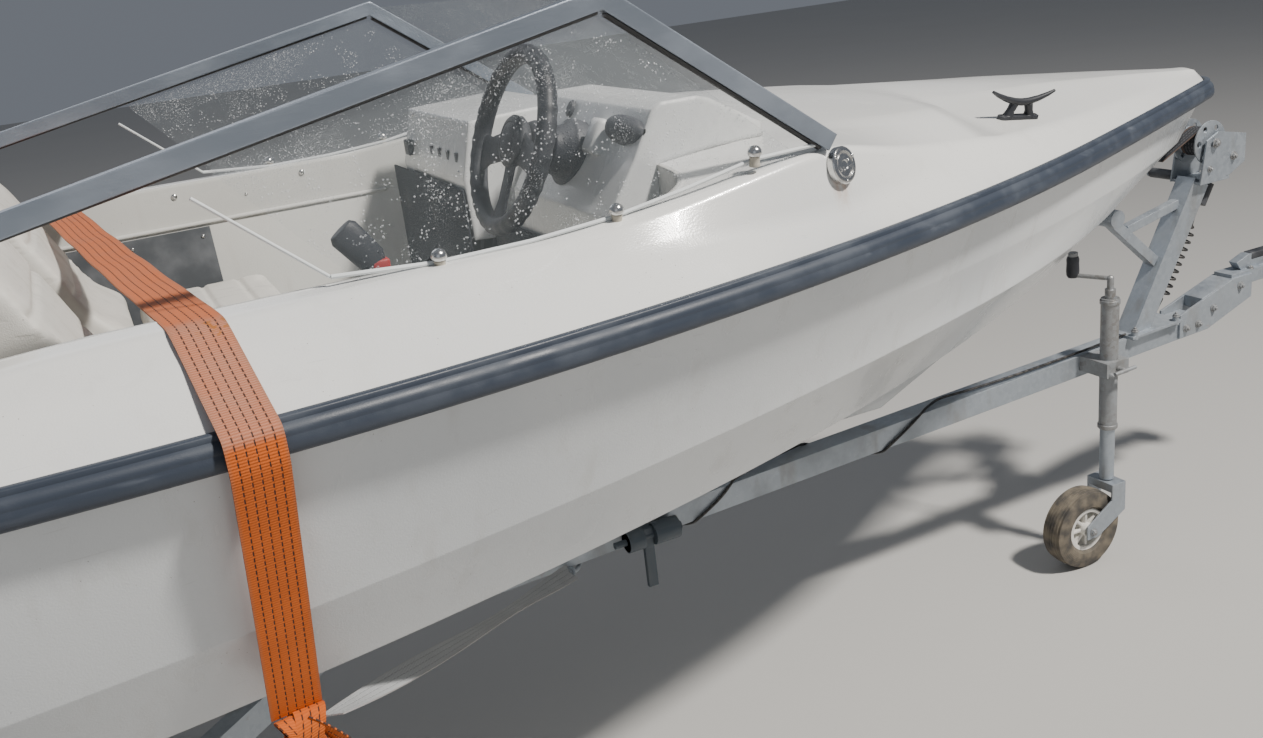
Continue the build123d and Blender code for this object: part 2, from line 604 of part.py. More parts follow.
def build_propeller():
    propeller = rod((PROP_X - 3, 0, PROP_Z), (PROP_X - 85, 0, PROP_Z), 34)
    for angle in (0, 120, 240):
        blade = Pos(0, 0, 92) * Rot(0, 0, 28) * extrude(Plane.YZ * Ellipse(62, 68), 4, both=True)
        propeller += Pos(PROP_X - 42, 0, PROP_Z) * Rot(angle, 0, 0) * blade
    return propeller - rod((PROP_X, 0, PROP_Z), (PROP_X - 73, 0, PROP_Z), PROP_SHAFT + FIT)


def on_chassis(shape):
    """Places a piece drawn with z = 0 on top of a level drawbar onto the nose-up chassis."""
    return Pos(DRAWBAR_X, 0, DRAWBAR_TOP) * Rot(0, -degrees(atan2(DRAWBAR_RISE, 1)), 0) * Pos(-DRAWBAR_X, 0, 0) * shape


def drawbar_z(x):
    """Height of the drawbar's top."""
    return DRAWBAR_TOP + DRAWBAR_RISE * (x - DRAWBAR_X)


def build_drawbar():
    return on_chassis(beam((DRAWBAR_AFT, 0, -DRAWBAR / 2), (DRAWBAR_FRONT, 0, -DRAWBAR / 2), DRAWBAR, DRAWBAR, 4))


def build_side_rails():
    """Straight side members that splay in to meet the drawbar."""
    z = -SIDE_HEIGHT / 2
    straight = beam((RAILS_AFT, SIDE_Y, z), (SPLAY_AFT + 15, SIDE_Y, z), SIDE_WIDTH, SIDE_HEIGHT)
    splay = beam((SPLAY_AFT, SIDE_Y, z), (SPLAY_FRONT + 60, 0, z), SIDE_WIDTH, SIDE_HEIGHT)
    rail = straight + splay - block(0, 4000, -200, DRAWBAR / 2, -200, 200)
    return on_chassis(both(rail))


def build_cross_beams():
    beams = []
    for x in CROSS_XS:
        beams.append(beam((x, -640, -DRAWBAR - 20), (x, 640, -DRAWBAR - 20), 60, 40))
    return on_chassis(Compound(beams))


def build_axle(rails):
    """Torsion axle: square beam, trailing arms, stubs and chassis brackets."""
    arm_y = WHEEL_Y - 95
    axle = beam((AXLE_X, -arm_y - 10, AXLE_Z), (AXLE_X, arm_y + 10, AXLE_Z), 60, 60)
    for side in (-1, 1):
        arm = side_profile([(AXLE_X + 25, AXLE_Z - 30), (AXLE_X + 25, AXLE_Z + 30), (AXLE_X - 25, AXLE_Z + 30),
                            (WHEEL_X - 30, WHEEL_RADIUS + 25), (WHEEL_X - 30, WHEEL_RADIUS - 28),
                            (WHEEL_X + 25, WHEEL_RADIUS - 28)], arm_y, arm_y + 16)
        stub = rod((WHEEL_X, arm_y, WHEEL_RADIUS), (WHEEL_X, WHEEL_Y + 24.5, WHEEL_RADIUS), STUB_RADIUS)
        foot = block(AXLE_X - 60, AXLE_X + 60, SIDE_Y - 20, SIDE_Y + 20, AXLE_Z + 30, drawbar_z(AXLE_X) - 50)
        end = arm + stub + foot
        axle += end if side > 0 else mirrored(end)
    return axle - rails


def tyre(radius, rim, width, axis_x, axis_y):
    """A tyre ring about a cross axis standing on the ground."""
    half = width / 2
    profile = [(rim, -half * 0.78), (rim + (radius - rim) * 0.35, -half * 0.97), (radius * 0.9, -half),
               (radius * 0.975, -half * 0.86), (radius, -half * 0.6), (radius, half * 0.6),
               (radius * 0.975, half * 0.86), (radius * 0.9, half), (rim + (radius - rim) * 0.35, half * 0.97),
               (rim, half * 0.78)]
    face = Face(Polyline(*[(r, a, 0) for r, a in profile], close=True))
    return Pos(axis_x, axis_y, radius) * revolve(face, Axis.Y)


def build_road_tyre(side):
    return tyre(WHEEL_RADIUS, RIM_RADIUS + 0.3, WHEEL_WIDTH, WHEEL_X, side * WHEEL_Y)


def build_road_rim(side):
    """Pressed steel rim with a dished, pierced disc and its hub."""
    half = WHEEL_WIDTH * 0.39
    barrel = Cylinder(RIM_RADIUS, 2 * half) - Cylinder(RIM_RADIUS - 6, 2 * half + 1)
    disc = Pos(0, 0, 18) * Cylinder(RIM_RADIUS - 3, 6)
    hub = Pos(0, 0, -12) * Cylinder(46, 88)
    wheel = barrel + disc + hub
    for step in range(8):
        angle = radians(45 * step)
        wheel -= Pos(108 * cos(angle), 108 * sin(angle), 18) * Cylinder(16, 30)
    wheel -= Pos(0, 0, -20) * Cylinder(STUB_RADIUS + FIT, 90)
    turn = -90 if side > 0 else 90
    return Pos(WHEEL_X, side * WHEEL_Y, WHEEL_RADIUS) * Rot(turn, 0, 0) * wheel


def build_mudguards():
    """Rolled guards with an inner flange and two brackets each to the side rail."""
    inner, outer = WHEEL_RADIUS + 42, WHEEL_RADIUS + 46
    low, high = WHEEL_Y - 92, WHEEL_Y + 98
    guards = []
    for side in (-1, 1):
        ring = Cylinder(outer, high - low) - Cylinder(inner, high - low + 2)
        flange = Pos(0, 0, -(high - low) / 2 + 2) * (Cylinder(outer, 4) - Cylinder(inner - 36, 5))
        guard = Rot(-90, 0, 0) * (ring + flange)
        guard &= block(-500, 500, -500, 500, 40, 500)
        guard = Pos(WHEEL_X, (low + high) / 2, WHEEL_RADIUS) * guard
        for step in (-1, 1):
            x = WHEEL_X + step * 250
            guard += block(x - 20, x + 20, SIDE_Y + SIDE_WIDTH / 2 + 0.3, low + 2, WHEEL_RADIUS + 152, WHEEL_RADIUS + 188)
        guards.append(guard if side > 0 else mirrored(guard))
    return Compound(guards)


def build_lamp_board():
    """Rear beam that carries two lamps and a bare plate."""
    z = -SIDE_HEIGHT / 2
    board = beam((RAILS_AFT - 20, -820, z), (RAILS_AFT - 20, 820, z), 40, 50)
    for side in (-1, 1):
        board += Pos(RAILS_AFT - 60, side * 700, z) * Box(40, 200, 90)
    return on_chassis(board + Pos(RAILS_AFT - 44, 0, z - 10) * Box(8, 500, 110))


def post_x(z):
    """Middle of the winch post at a height."""
    return WINCH_FOOT[0] + (WINCH_TOP[0] - WINCH_FOOT[0]) * (z - WINCH_FOOT[2]) / (WINCH_TOP[2] - WINCH_FOOT[2])


def build_winch_post():
    """Raked box post, its bolted foot and the winch's side plates."""
    post = beam((post_x(590), 0, 590), WINCH_TOP, 60, 60)
    post -= on_chassis(block(4200, 4700, -100, 100, -200, 8))
    foot = on_chassis(block(4285, 4480, -50, 50, 0.3, 8))
    head = side_profile([(4525, 1000), (4640, 1010), (4700, 1040), (4700, 1118), (4590, 1140), (4545, 1120)], 46, 51)
    base = block(4528, 4640, -51, 51, 1000, 1008)
    bolts = on_chassis(Compound([Pos(x, y, 8) * Cylinder(9, 24) for x in (4300, 4462) for y in (-42, 42)]))
    winch = post + foot + head + mirrored(head) + base
    bore = Pos(*WINCH_AXLE) * Rot(90, 0, 0) * Cylinder(8 + FIT, 200)
    return winch - bore + bolts


def build_bow_stop():
    """Stem roller on two welded braces."""
    stop = (4222, 0, 962)
    roller = Pos(*stop) * Rot(90, 0, 0) * Cylinder(25, 90) - hull_form()
    lower = beam((post_x(800) - 36, 0, 800), (stop[0] + 14, 0, stop[2] - 12), 28, 28)
    upper = beam((post_x(950) - 36, 0, 950), (4298, 0, 912), 24, 24)
    post = beam((post_x(590), 0, 590), WINCH_TOP, 60, 60)
    return (lower + upper + roller) - post - hull_form()


def build_winch_drum():
    """Drum with pierced flanges, wound strap and a square drive end."""
    drum = Cylinder(DRUM, 66) + Cylinder(8, 112)
    for z in (-35, 35):
        flange = Pos(0, 0, z) * Cylinder(60, 4)
        for step in range(6):
            angle = radians(60 * step)
            flange -= Pos(43 * cos(angle), 43 * sin(angle), z) * Cylinder(8, 20)
        drum += flange
    drum = Pos(*WINCH_AXLE) * Rot(-90, 0, 0) * drum
    x, y, z = WINCH_AXLE
    drum += block(x - 12, x + 12, y + 55, y + 63, z - CRANK - 12, z + 16)
    return drum + rod((x, y + 60, z - CRANK), (x, y + 165, z - CRANK), 13)


def build_winch_strap():
    """Taut strap from the top of the drum to the bow eye."""
    reach = DRUM + 1.8
    eye_x, eye_z = EYE_AT[0] + 0.68 * (EYE_RADIUS + 7), EYE_AT[2] - 0.73 * (EYE_RADIUS + 7)
    dx, dz = eye_x - WINCH_AXLE[0], eye_z - WINCH_AXLE[2]
    turn = atan2(dz, dx) - acos(reach / hypot(dx, dz))
    top = (WINCH_AXLE[0] + reach * cos(turn), 0, WINCH_AXLE[2] + reach * sin(turn))
    return beam(top, (eye_x, 0, eye_z), 40, 3)


def build_roller_brackets():
    """Side plates and pins of the keel rollers."""
    pieces = []
    half = DRAWBAR / 2
    for x in ROLLER_XS:
        low = drawbar_z(x) - 50
        plate = block(x - 25, x + 25, half + 0.3, half + 6, low, ROLLER_Z + 12)
        pin = rod((x, -half - 6, ROLLER_Z), (x, half + 6, ROLLER_Z), ROLLER_PIN)
        pieces.append(plate + mirrored(plate) + pin)
    return Compound(pieces)


def build_keel_roller(x):
    roller = Cylinder(ROLLER_RADIUS, DRAWBAR - 4) - Cylinder(ROLLER_PIN + FIT, DRAWBAR)
    return Pos(x, 0, ROLLER_Z) * Rot(90, 0, 0) * roller


def build_side_roller():
    """Clamp on the drawbar's starboard side with a fore-and-aft pair of rollers."""
    x, y, z = 2725, -66, drawbar_z(2725) - 32
    hanger = block(x - 12, x + 12, y - 6, y + 6, z - 130, z + 20)
    arm = block(x - 12, x + 12, y, -DRAWBAR / 2 - 0.3, z - 20, z + 20)
    pin = rod((x - 85, y, z), (x + 85, y, z), 8)
    fore = rod((x + 14, y, z), (x + 78, y, z), 26)
    aft = rod((x - 55, y, z), (x - 14, y, z), 26)
    return hanger + arm + pin + fore + aft


def build_bunks(hull_solid):
    """Padded boards under the bottom, on posts from the cross beams."""
    board = beam((BUNK_AFT, BUNK_Y, 672), (BUNK_FRONT, BUNK_Y, 704), 90, 90)
    keep = beam((BUNK_AFT, BUNK_Y, 676), (BUNK_FRONT, BUNK_Y, 706), 90, 50)
    board = keep - hull_solid
    for x in CROSS_XS:
        top = 672 + (x - BUNK_AFT) * 0.019
        board += block(x - 25, x + 25, BUNK_Y - 25, BUNK_Y + 25, drawbar_z(x) - DRAWBAR + 1, top)
    return both(board)


def build_jockey_tube():
    """Outer tube, cap and the clamp that holds it to the drawbar."""
    tube = rod((JOCKEY_X, JOCKEY_Y, 392), (JOCKEY_X, JOCKEY_Y, 765), JOCKEY_TUBE, JOCKEY_LEG + FIT)
    cap = rod((JOCKEY_X, JOCKEY_Y, 757), (JOCKEY_X, JOCKEY_Y, 770), JOCKEY_TUBE, 9 + FIT)
    clamp = block(JOCKEY_X - 40, JOCKEY_X + 40, JOCKEY_Y - 32, -DRAWBAR / 2 - 0.3, 555, 597)
    clamp -= rod((JOCKEY_X, JOCKEY_Y, 500), (JOCKEY_X, JOCKEY_Y, 700), JOCKEY_TUBE - 1)
    return tube + cap + clamp


def build_jockey_crank():
    """Spindle top, swan-neck arm and knob."""
    top = 824
    reach = (-40, 94)
    stem = rod((JOCKEY_X, JOCKEY_Y, 757.5), (JOCKEY_X, JOCKEY_Y, top), 9)
    nut = rod((JOCKEY_X, JOCKEY_Y, 770.3), (JOCKEY_X, JOCKEY_Y, 795), 14)
    end = (JOCKEY_X + reach[0], JOCKEY_Y + reach[1], top)
    arm = rod((JOCKEY_X, JOCKEY_Y, top), end, 6)
    bend = Pos(JOCKEY_X, JOCKEY_Y, top) * Sphere(9)
    knob = rod((end[0], end[1], top - 6), (end[0], end[1], 888), 13)
    return stem + nut + arm + bend + knob


def build_jockey_leg():
    leg = rod((JOCKEY_X, JOCKEY_Y, 240), (JOCKEY_X, JOCKEY_Y, 595), JOCKEY_LEG)
    return leg + rod((JOCKEY_X, JOCKEY_Y, 210), (JOCKEY_X, JOCKEY_Y, 245), 12)


def build_jockey_fork():
    """Swivelling fork: bridge, two bent plates and the wheel pin."""
    bridge = block(JOCKEY_X - 25, JOCKEY_X + 25, JOCKEY_Y - 46, JOCKEY_Y + 46, 213, 237)
    bridge -= rod((JOCKEY_X, JOCKEY_Y, 190), (JOCKEY_X, JOCKEY_Y, 300), 12 + FIT)
    axle_x = JOCKEY_X - JOCKEY_TRAIL
    plate = [(JOCKEY_X - 25, 237), (JOCKEY_X + 25, 237), (JOCKEY_X + 25, 150), (axle_x + 20, 95),
             (axle_x - 20, 95), (axle_x - 20, 135), (JOCKEY_X - 25, 190)]
    fork = bridge
    for side in (-1, 1):
        low, high = sorted((side * 41, side * 46))
        fork += side_profile(plate, JOCKEY_Y + low, JOCKEY_Y + high)
    pin = rod((axle_x, JOCKEY_Y - 52, JOCKEY_WHEEL_RADIUS), (axle_x, JOCKEY_Y + 52, JOCKEY_WHEEL_RADIUS), 8)
    return fork + pin


def build_jockey_wheel():
    """Small pneumatic tyre on a spoked rim."""
    axle_x = JOCKEY_X - JOCKEY_TRAIL
    ring = tyre(JOCKEY_WHEEL_RADIUS, 62, JOCKEY_WHEEL_WIDTH, axle_x, JOCKEY_Y)
    rim = Cylinder(63, 50) - Cylinder(52, 60) + Cylinder(20, 66)
    for step in range(8):
        rim += Rot(0, 0, 45 * step) * Pos(36, 0, 0) * Box(40, 8, 36)
    rim -= Cylinder(8 + FIT, 90)
    return ring + Pos(axle_x, JOCKEY_Y, JOCKEY_WHEEL_RADIUS) * Rot(90, 0, 0) * rim


def build_coupling():
    """Raised bracket on the drawbar's end and the ball coupling."""
    side = side_profile([(4486, 556), (4600, 560), (4780, 620), (4780, 690), (4700, 690), (4486, 626)],
                        DRAWBAR / 2 + 0.3, DRAWBAR / 2 + 7)
    bridge = side_profile([(4580, 622), (4780, 660), (4780, 690), (4700, 690), (4580, 655)],
                          -DRAWBAR / 2 - 1, DRAWBAR / 2 + 1)
    arm = block(4700, COUPLING_X, -30, 30, 660, 700)
    head = rod((COUPLING_X, 0, SOCKET_LOW), (COUPLING_X, 0, 700), HEAD_RADIUS) + Pos(COUPLING_X, 0, 696) * Sphere(34)
    handle = side_profile([(4760, 700), (4920, 700), (4930, 735), (4790, 742), (4740, 725)], -14, 14)
    socket = rod((COUPLING_X, 0, 600), (COUPLING_X, 0, SOCKET_TOP), SOCKET_RADIUS)
    return side + mirrored(side) + bridge + arm + head + handle - socket


def build_trailer_cable():
    """Outer form of the curly cable from its plug down to the post's foot plate."""
    cable = rod((post_x(930) + 70, 0, 930), (post_x(600) + 70, 0, 600), 20)
    return cable - on_chassis(block(4200, 4700, -100, 100, -200, 8))


def build_trailer_plug():
    """Plug parked in its clip on the post."""
    top, low = 985, 930
    plug = rod((post_x(low) + 70, 0, low), (post_x(top) + 70, 0, top), 18)
    post = beam((post_x(590), 0, 590), WINCH_TOP, 60, 60)
    clip = block(post_x(950), post_x(950) + 60, -14, 14, 945, 965) - post
    return plug + clip


deck_whole = deck_form()
deck_solid = deck_whole - rise_from(cockpit_outline(0, SHEER_Z - 100), 600)
hull_solid = hull_form()
save("hull", build_hull())
save("rub_rail", build_rub_rail())
save("deck", build_deck(deck_solid))
save("motor_well", build_motor_well())
helm = build_helm_console() - deck_solid
port = build_port_console() - deck_solid
save("cockpit_liner", build_liner(Compound([helm, port]), deck_whole))
save("screen_frames", build_screen_frames(deck_solid))
save("windscreen", build_windscreen(deck_solid))
save("helm_console", helm)
save("port_console", port)
save("helm_instruments", build_helm_instruments(helm))
save("steering_wheel", build_steering_wheel())
save("throttle_box", build_throttle())
save("front_seats", build_front_seats())
save("rear_bench", build_rear_bench())
save("dark_panels", build_dark_panels())
save("cleats", build_cleats(deck_solid))
save("deck_fittings", build_deck_fittings(deck_solid))
tie_down = build_tie_down_strap()
save("tie_down_strap", tie_down)
save("lashing_strap", build_lashing_strap(tie_down))
save("engine_clamp", build_engine_clamp())
save("engine_swivel", build_engine_swivel())
save("engine_leg", build_engine_leg())
save("engine_cowl", build_engine_cowl())
save("propeller", build_propeller())
save("drawbar", build_drawbar())
side_rails = build_side_rails()
save("side_rails", side_rails)
save("cross_beams", build_cross_beams())
save("axle", build_axle(side_rails))
for side, name in ((1, "port"), (-1, "starboard")):
    save(f"tyre_{name}", build_road_tyre(side))
    save(f"rim_{name}", build_road_rim(side))
save("mudguards", build_mudguards())
save("lamp_board", build_lamp_board())
save("winch_post", build_winch_post())
save("bow_stop", build_bow_stop())
save("winch_drum", build_winch_drum())
save("winch_strap", build_winch_strap())
save("roller_brackets", build_roller_brackets())
for number, x in enumerate(ROLLER_XS, 1):
    save(f"keel_roller_{number}", build_keel_roller(x))
save("side_roller", build_side_roller())
save("bunks", build_bunks(hull_solid))
save("jockey_tube", build_jockey_tube())
save("jockey_crank", build_jockey_crank())
save("jockey_leg", build_jockey_leg())
save("jockey_fork", build_jockey_fork())
save("jockey_wheel", build_jockey_wheel())
save("coupling", build_coupling())
save("trailer_cable", build_trailer_cable())
save("trailer_plug", build_trailer_plug())
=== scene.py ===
"""Speedboat with an outboard, strapped to its road trailer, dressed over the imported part."""

import json
import logging
from dataclasses import dataclass
from enum import Enum
from functools import lru_cache
from math import asin, atan2, cos, hypot, pi, radians, sin, sqrt, tau
from typing import Any, Sequence, Union

import bmesh
import bpy
from mathutils import Matrix, Vector

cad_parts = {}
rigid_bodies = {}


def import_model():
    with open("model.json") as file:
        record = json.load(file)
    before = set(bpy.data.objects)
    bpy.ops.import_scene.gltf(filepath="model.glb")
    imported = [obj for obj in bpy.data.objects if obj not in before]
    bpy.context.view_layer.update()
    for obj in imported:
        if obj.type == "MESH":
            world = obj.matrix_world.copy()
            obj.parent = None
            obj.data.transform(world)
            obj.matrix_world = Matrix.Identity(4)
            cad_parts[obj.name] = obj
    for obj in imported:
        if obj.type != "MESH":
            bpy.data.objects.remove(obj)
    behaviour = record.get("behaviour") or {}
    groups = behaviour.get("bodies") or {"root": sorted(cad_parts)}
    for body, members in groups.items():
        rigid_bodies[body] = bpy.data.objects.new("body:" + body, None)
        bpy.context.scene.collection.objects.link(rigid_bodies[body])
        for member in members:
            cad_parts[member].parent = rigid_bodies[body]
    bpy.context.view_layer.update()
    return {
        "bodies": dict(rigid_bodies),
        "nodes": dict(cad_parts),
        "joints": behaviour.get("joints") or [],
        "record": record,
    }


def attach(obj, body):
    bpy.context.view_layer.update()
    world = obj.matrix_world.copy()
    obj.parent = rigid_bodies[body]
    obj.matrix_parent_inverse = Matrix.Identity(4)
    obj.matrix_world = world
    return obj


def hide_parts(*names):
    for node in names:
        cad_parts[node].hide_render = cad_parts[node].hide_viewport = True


logging.basicConfig(level=logging.INFO, format="%(message)s")
log = logging.getLogger("speedboat")

MIDDLE = 2.2485
Colour = tuple[float, float, float]
Spot = tuple[float, float, float]
Outline = Sequence[tuple[float, float]]
Value = Union["Signal", float, tuple]


class Body(Enum):
    """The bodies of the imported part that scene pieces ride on."""

    HULL = "boat_and_trailer"
    ENGINE = "engine"
    SWIVEL = "engine_swivel_bracket"
    PROPELLER = "propeller"
    STEERING = "steering_wheel"
    WHEEL_PORT = "road_wheel_port"
    WHEEL_STARBOARD = "road_wheel_starboard"
    WINCH = "winch"
    JOCKEY_LEG = "jockey_leg"
    JOCKEY_FORK = "jockey_fork"
    JOCKEY_WHEEL = "jockey_wheel"
    JOCKEY_CRANK = "jockey_crank"


class Side(Enum):
    """Port is on the left when looking forward."""

    PORT = 1
    STARBOARD = -1


WHEEL_BODIES = {Side.PORT: Body.WHEEL_PORT, Side.STARBOARD: Body.WHEEL_STARBOARD}


def at(x: float, y: float, z: float) -> Vector:
    """A place of the boat's layout in millimetres, x from the transom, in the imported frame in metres."""
    return Vector((x / 1000 - MIDDLE, y / 1000, z / 1000))


def between(low: float, high: float, count: int) -> list[float]:
    """Evenly spaced numbers from low to high, both included."""
    return [low + (high - low) * i / (count - 1) for i in range(count)]


def axis_frame(axis: Vector) -> Matrix:
    """A rotation whose z runs along the axis."""
    return axis.normalized().to_track_quat("Z", "Y").to_matrix()


def run_at(path: Sequence[Vector], i: int) -> Vector:
    """The way a path runs at one of its points."""
    return (path[min(i + 1, len(path) - 1)] - path[max(i - 1, 0)]).normalized()


def dip(distance: float, width: float, depth: float) -> float:
    """A soft groove's depth at a distance from its middle."""
    return depth * 2.718 ** -((distance / width) ** 2)


# Shader graphs


class Signal:
    """A node's output with arithmetic: each expression adds one Math node."""

    def __init__(self, graph: "Graph", socket: bpy.types.NodeSocket) -> None:
        self.graph = graph
        self.socket = socket

    def math(self, operation: str, *others: Value) -> "Signal":
        """One Math node with this signal as its first value."""
        return self.graph.math(operation, self, *others)

    def __add__(self, other: Value) -> "Signal":
        """This signal plus another value."""
        return self.math("ADD", other)

    def __radd__(self, other: Value) -> "Signal":
        """Another value plus this signal."""
        return self.math("ADD", other)

    def __sub__(self, other: Value) -> "Signal":
        """This signal less another value."""
        return self.math("SUBTRACT", other)

    def __rsub__(self, other: Value) -> "Signal":
        """Another value less this signal."""
        return self.graph.math("SUBTRACT", other, self)

    def __mul__(self, other: Value) -> "Signal":
        """This signal times another value."""
        return self.math("MULTIPLY", other)

    def __rmul__(self, other: Value) -> "Signal":
        """Another value times this signal."""
        return self.math("MULTIPLY", other)

    def __truediv__(self, other: Value) -> "Signal":
        """This signal over another value."""
        return self.math("DIVIDE", other)

    def __rtruediv__(self, other: Value) -> "Signal":
        """Another value over this signal."""
        return self.graph.math("DIVIDE", other, self)

    def __pow__(self, power: Value) -> "Signal":
        """This signal to a power."""
        return self.math("POWER", power)

    def __abs__(self) -> "Signal":
        """The signal without its sign."""
        return self.math("ABSOLUTE")

    def sine(self) -> "Signal":
        """The sine of the signal in radians."""
        return self.math("SINE")

    def most(self, other: Value) -> "Signal":
        """The larger of two values."""
        return self.math("MAXIMUM", other)

    def least(self, other: Value) -> "Signal":
        """The smaller of two values."""
        return self.math("MINIMUM", other)

    def rise(self, low: float, high: float) -> "Signal":
        """A smooth step from 0 at low to 1 at high.

        Args:
            low: Value where the step starts.
            high: Value where it is complete; below low for a falling step.

        Returns:
            The step as a signal from 0 to 1.
        """
        flat = {"interpolation_type": "SMOOTHSTEP"}
        return self.graph.node("MapRange", flat, {0: self, 1: low, 2: high, 3: 0.0, 4: 1.0})


class Graph:
    """One material's node tree."""

    def __init__(self, name: str) -> None:
        self.material = bpy.data.materials.new(name)
        self.material.use_nodes = True
        self.tree = self.material.node_tree
        self.shader = self.tree.nodes["Principled BSDF"]
        self.place = self.node("TexCoord", output="Object")
        parts = [self.node("SeparateXYZ", inputs={0: self.place}, output=i) for i in range(3)]
        self.x, self.y, self.z = parts

    def node(
        self,
        kind: str,
        settings: dict[str, Any] | None = None,
        inputs: dict[Any, Value] | None = None,
        output: int | str = 0,
    ) -> Signal:
        """Adds one node.

        Args:
            kind: The node's type without its ShaderNode prefix.
            settings: Properties of the node, set before its sockets.
            inputs: Values or signals by socket name or number.
            output: Which output to read.

        Returns:
            The chosen output.
        """
        made = self.tree.nodes.new("ShaderNode" + kind)
        for key, value in (settings or {}).items():
            setattr(made, key, value)
        for key, value in (inputs or {}).items():
            self.feed(made.inputs[key], value)
        return Signal(self, made.outputs[output])

    def feed(self, socket: bpy.types.NodeSocket, value: Value) -> None:
        """Links a signal to a socket, or sets its constant."""
        if isinstance(value, Signal):
            self.tree.links.new(value.socket, socket)
        elif isinstance(value, tuple) and socket.type == "RGBA":
            socket.default_value = (*value[:3], 1.0)
        else:
            socket.default_value = value

    def math(self, operation: str, *values: Value) -> Signal:
        """One Math node."""
        return self.node("Math", {"operation": operation}, dict(enumerate(values)))

    def stretched(self, stretch: Spot, shift: float = 0.0) -> Signal:
        """Object coordinates scaled along each axis and shifted."""
        return self.node(
            "VectorMath", {"operation": "MULTIPLY_ADD"}, {0: self.place, 1: stretch, 2: (shift,) * 3}
        )

    def noise(
        self, scale: float, detail: float = 2.0, stretch: Spot = (1, 1, 1), shift: float = 0.0
    ) -> Signal:
        """Soft noise over the surface.

        Args:
            scale: Features per metre.
            detail: Octaves of finer noise.
            stretch: Scale along each axis.
            shift: Moves the pattern, so that two of them differ.

        Returns:
            The noise, about 0.5 on average.
        """
        place = self.stretched(stretch, shift)
        return self.node("TexNoise", {}, {"Vector": place, "Scale": scale, "Detail": detail})

    def cells(self, scale: float, stretch: Spot = (1, 1, 1), output: int | str = 0) -> Signal:
        """Distance to, or colour of, the nearest of scattered points."""
        place = self.stretched(stretch)
        return self.node("TexVoronoi", {}, {"Vector": place, "Scale": scale}, output)

    def specks(self, scale: float, size: float, amount: float) -> Signal:
        """Small round marks scattered over part of the surface.

        Args:
            scale: Cells per metre, each with at most one mark.
            size: The mark's radius as a share of a cell.
            amount: Share of the surface that has marks.

        Returns:
            1 in a mark and 0 elsewhere.
        """
        where = self.noise(scale / 9, 2, shift=scale).rise(0.62 - amount, 0.72 - amount)
        return self.cells(scale).rise(size, size * 0.6) * where

    def mix(self, factor: Value, first: Value, second: Value) -> Signal:
        """A colour between two others."""
        return self.node("Mix", {"data_type": "RGBA"}, {0: factor, 6: first, 7: second}, output=2)

    def bump(self, height: Signal, depth: float, under: Signal | None = None) -> Signal:
        """A relief on the surface.

        Args:
            height: The relief from 0 to 1.
            depth: How deep it is, in metres.
            under: A normal that it is added to.

        Returns:
            The new normal.
        """
        inputs: dict[Any, Value] = {"Height": height, "Distance": depth, "Strength": 1.0}
        if under:
            inputs["Normal"] = under
        return self.node("Bump", {}, inputs)

    def rounded(self, radius: float) -> Signal:
        """A normal that softens edges over a radius in metres."""
        return self.node("Bevel", {"samples": 6}, {"Radius": radius})

    def near(self, spot: Vector) -> Signal:
        """Distance of the surface from a place, in metres."""
        return self.node("VectorMath", {"operation": "DISTANCE"}, {0: self.place, 1: tuple(spot)}, "Value")

    def surface(self, **sockets: Value) -> None:
        """Sets the shader's sockets, each named in lower case with underscores."""
        named = {socket.name.lower().replace(" ", "_"): socket for socket in self.shader.inputs}
        for name, value in sockets.items():
            self.feed(named[name], value)


# Finishes


@dataclass(frozen=True)
class Finish:
    """A surface finish: a name, a main colour and how far its edges are softened."""

    name: str
    tone: Colour
    edge: float = 0.0

    def paint(self, graph: Graph) -> None:
        """Builds the finish's nodes."""
        raise NotImplementedError

    def under(self, graph: Graph) -> Signal | None:
        """The softened normal below the relief, if the finish has one."""
        return graph.rounded(self.edge) if self.edge else None


@lru_cache(maxsize=None)
def material_of(finish: Finish) -> bpy.types.Material:
    """The finish's material, made once."""
    graph = Graph(finish.name)
    finish.paint(graph)
    return graph.material


@dataclass(frozen=True)
class Gelcoat(Finish):
    """Polished fibreglass with faint chalking, scratches and pinholes."""

    shade: Colour = (0.62, 0.64, 0.66)
    grime: float = 0.35
    stain: Spot | None = None

    def paint(self, graph: Graph) -> None:
        """White resin, chalky in patches, with water marks and a rust run where one is named."""
        chalk = graph.noise(1.7, 3).rise(0.42, 0.72)
        streak = graph.noise(26, 4, (1, 1, 0.1)).rise(0.52, 0.8) * self.grime
        scratch = graph.noise(170, 2, (0.05, 1, 1), 3.1).rise(0.7, 0.78)
        pits = graph.specks(75, 0.07, 0.1)
        tone = graph.mix(chalk * 0.45, self.tone, self.shade)
        tone = graph.mix(streak * 0.4, tone, (0.46, 0.44, 0.4))
        tone = graph.mix(pits * 0.75, tone, (0.2, 0.17, 0.14))
        tone = graph.mix(scratch * 0.3, tone, (0.5, 0.5, 0.5))
        if self.stain:
            below = graph.z.rise(self.stain[2] + 0.004, self.stain[2] - 0.015)
            lane = abs(graph.x - self.stain[0] + 0.006).rise(0.03, 0.004)
            fade = graph.z.rise(self.stain[2] - 0.09, self.stain[2])
            run = below * lane * fade * graph.noise(120, 5, (1, 1, 0.3)).rise(0.3, 0.65)
            tone = graph.mix(run * 0.75, tone, (0.42, 0.2, 0.07))
        peel = graph.noise(320, 1) * 0.5 + graph.noise(9, 2)
        rough = 0.2 + chalk * 0.14 + streak * 0.3 + pits * 0.3
        normal = graph.bump(peel - pits * 0.8, 0.0004, self.under(graph))
        graph.surface(base_color=tone, roughness=rough, coat_weight=0.25 - chalk * 0.15, normal=normal)


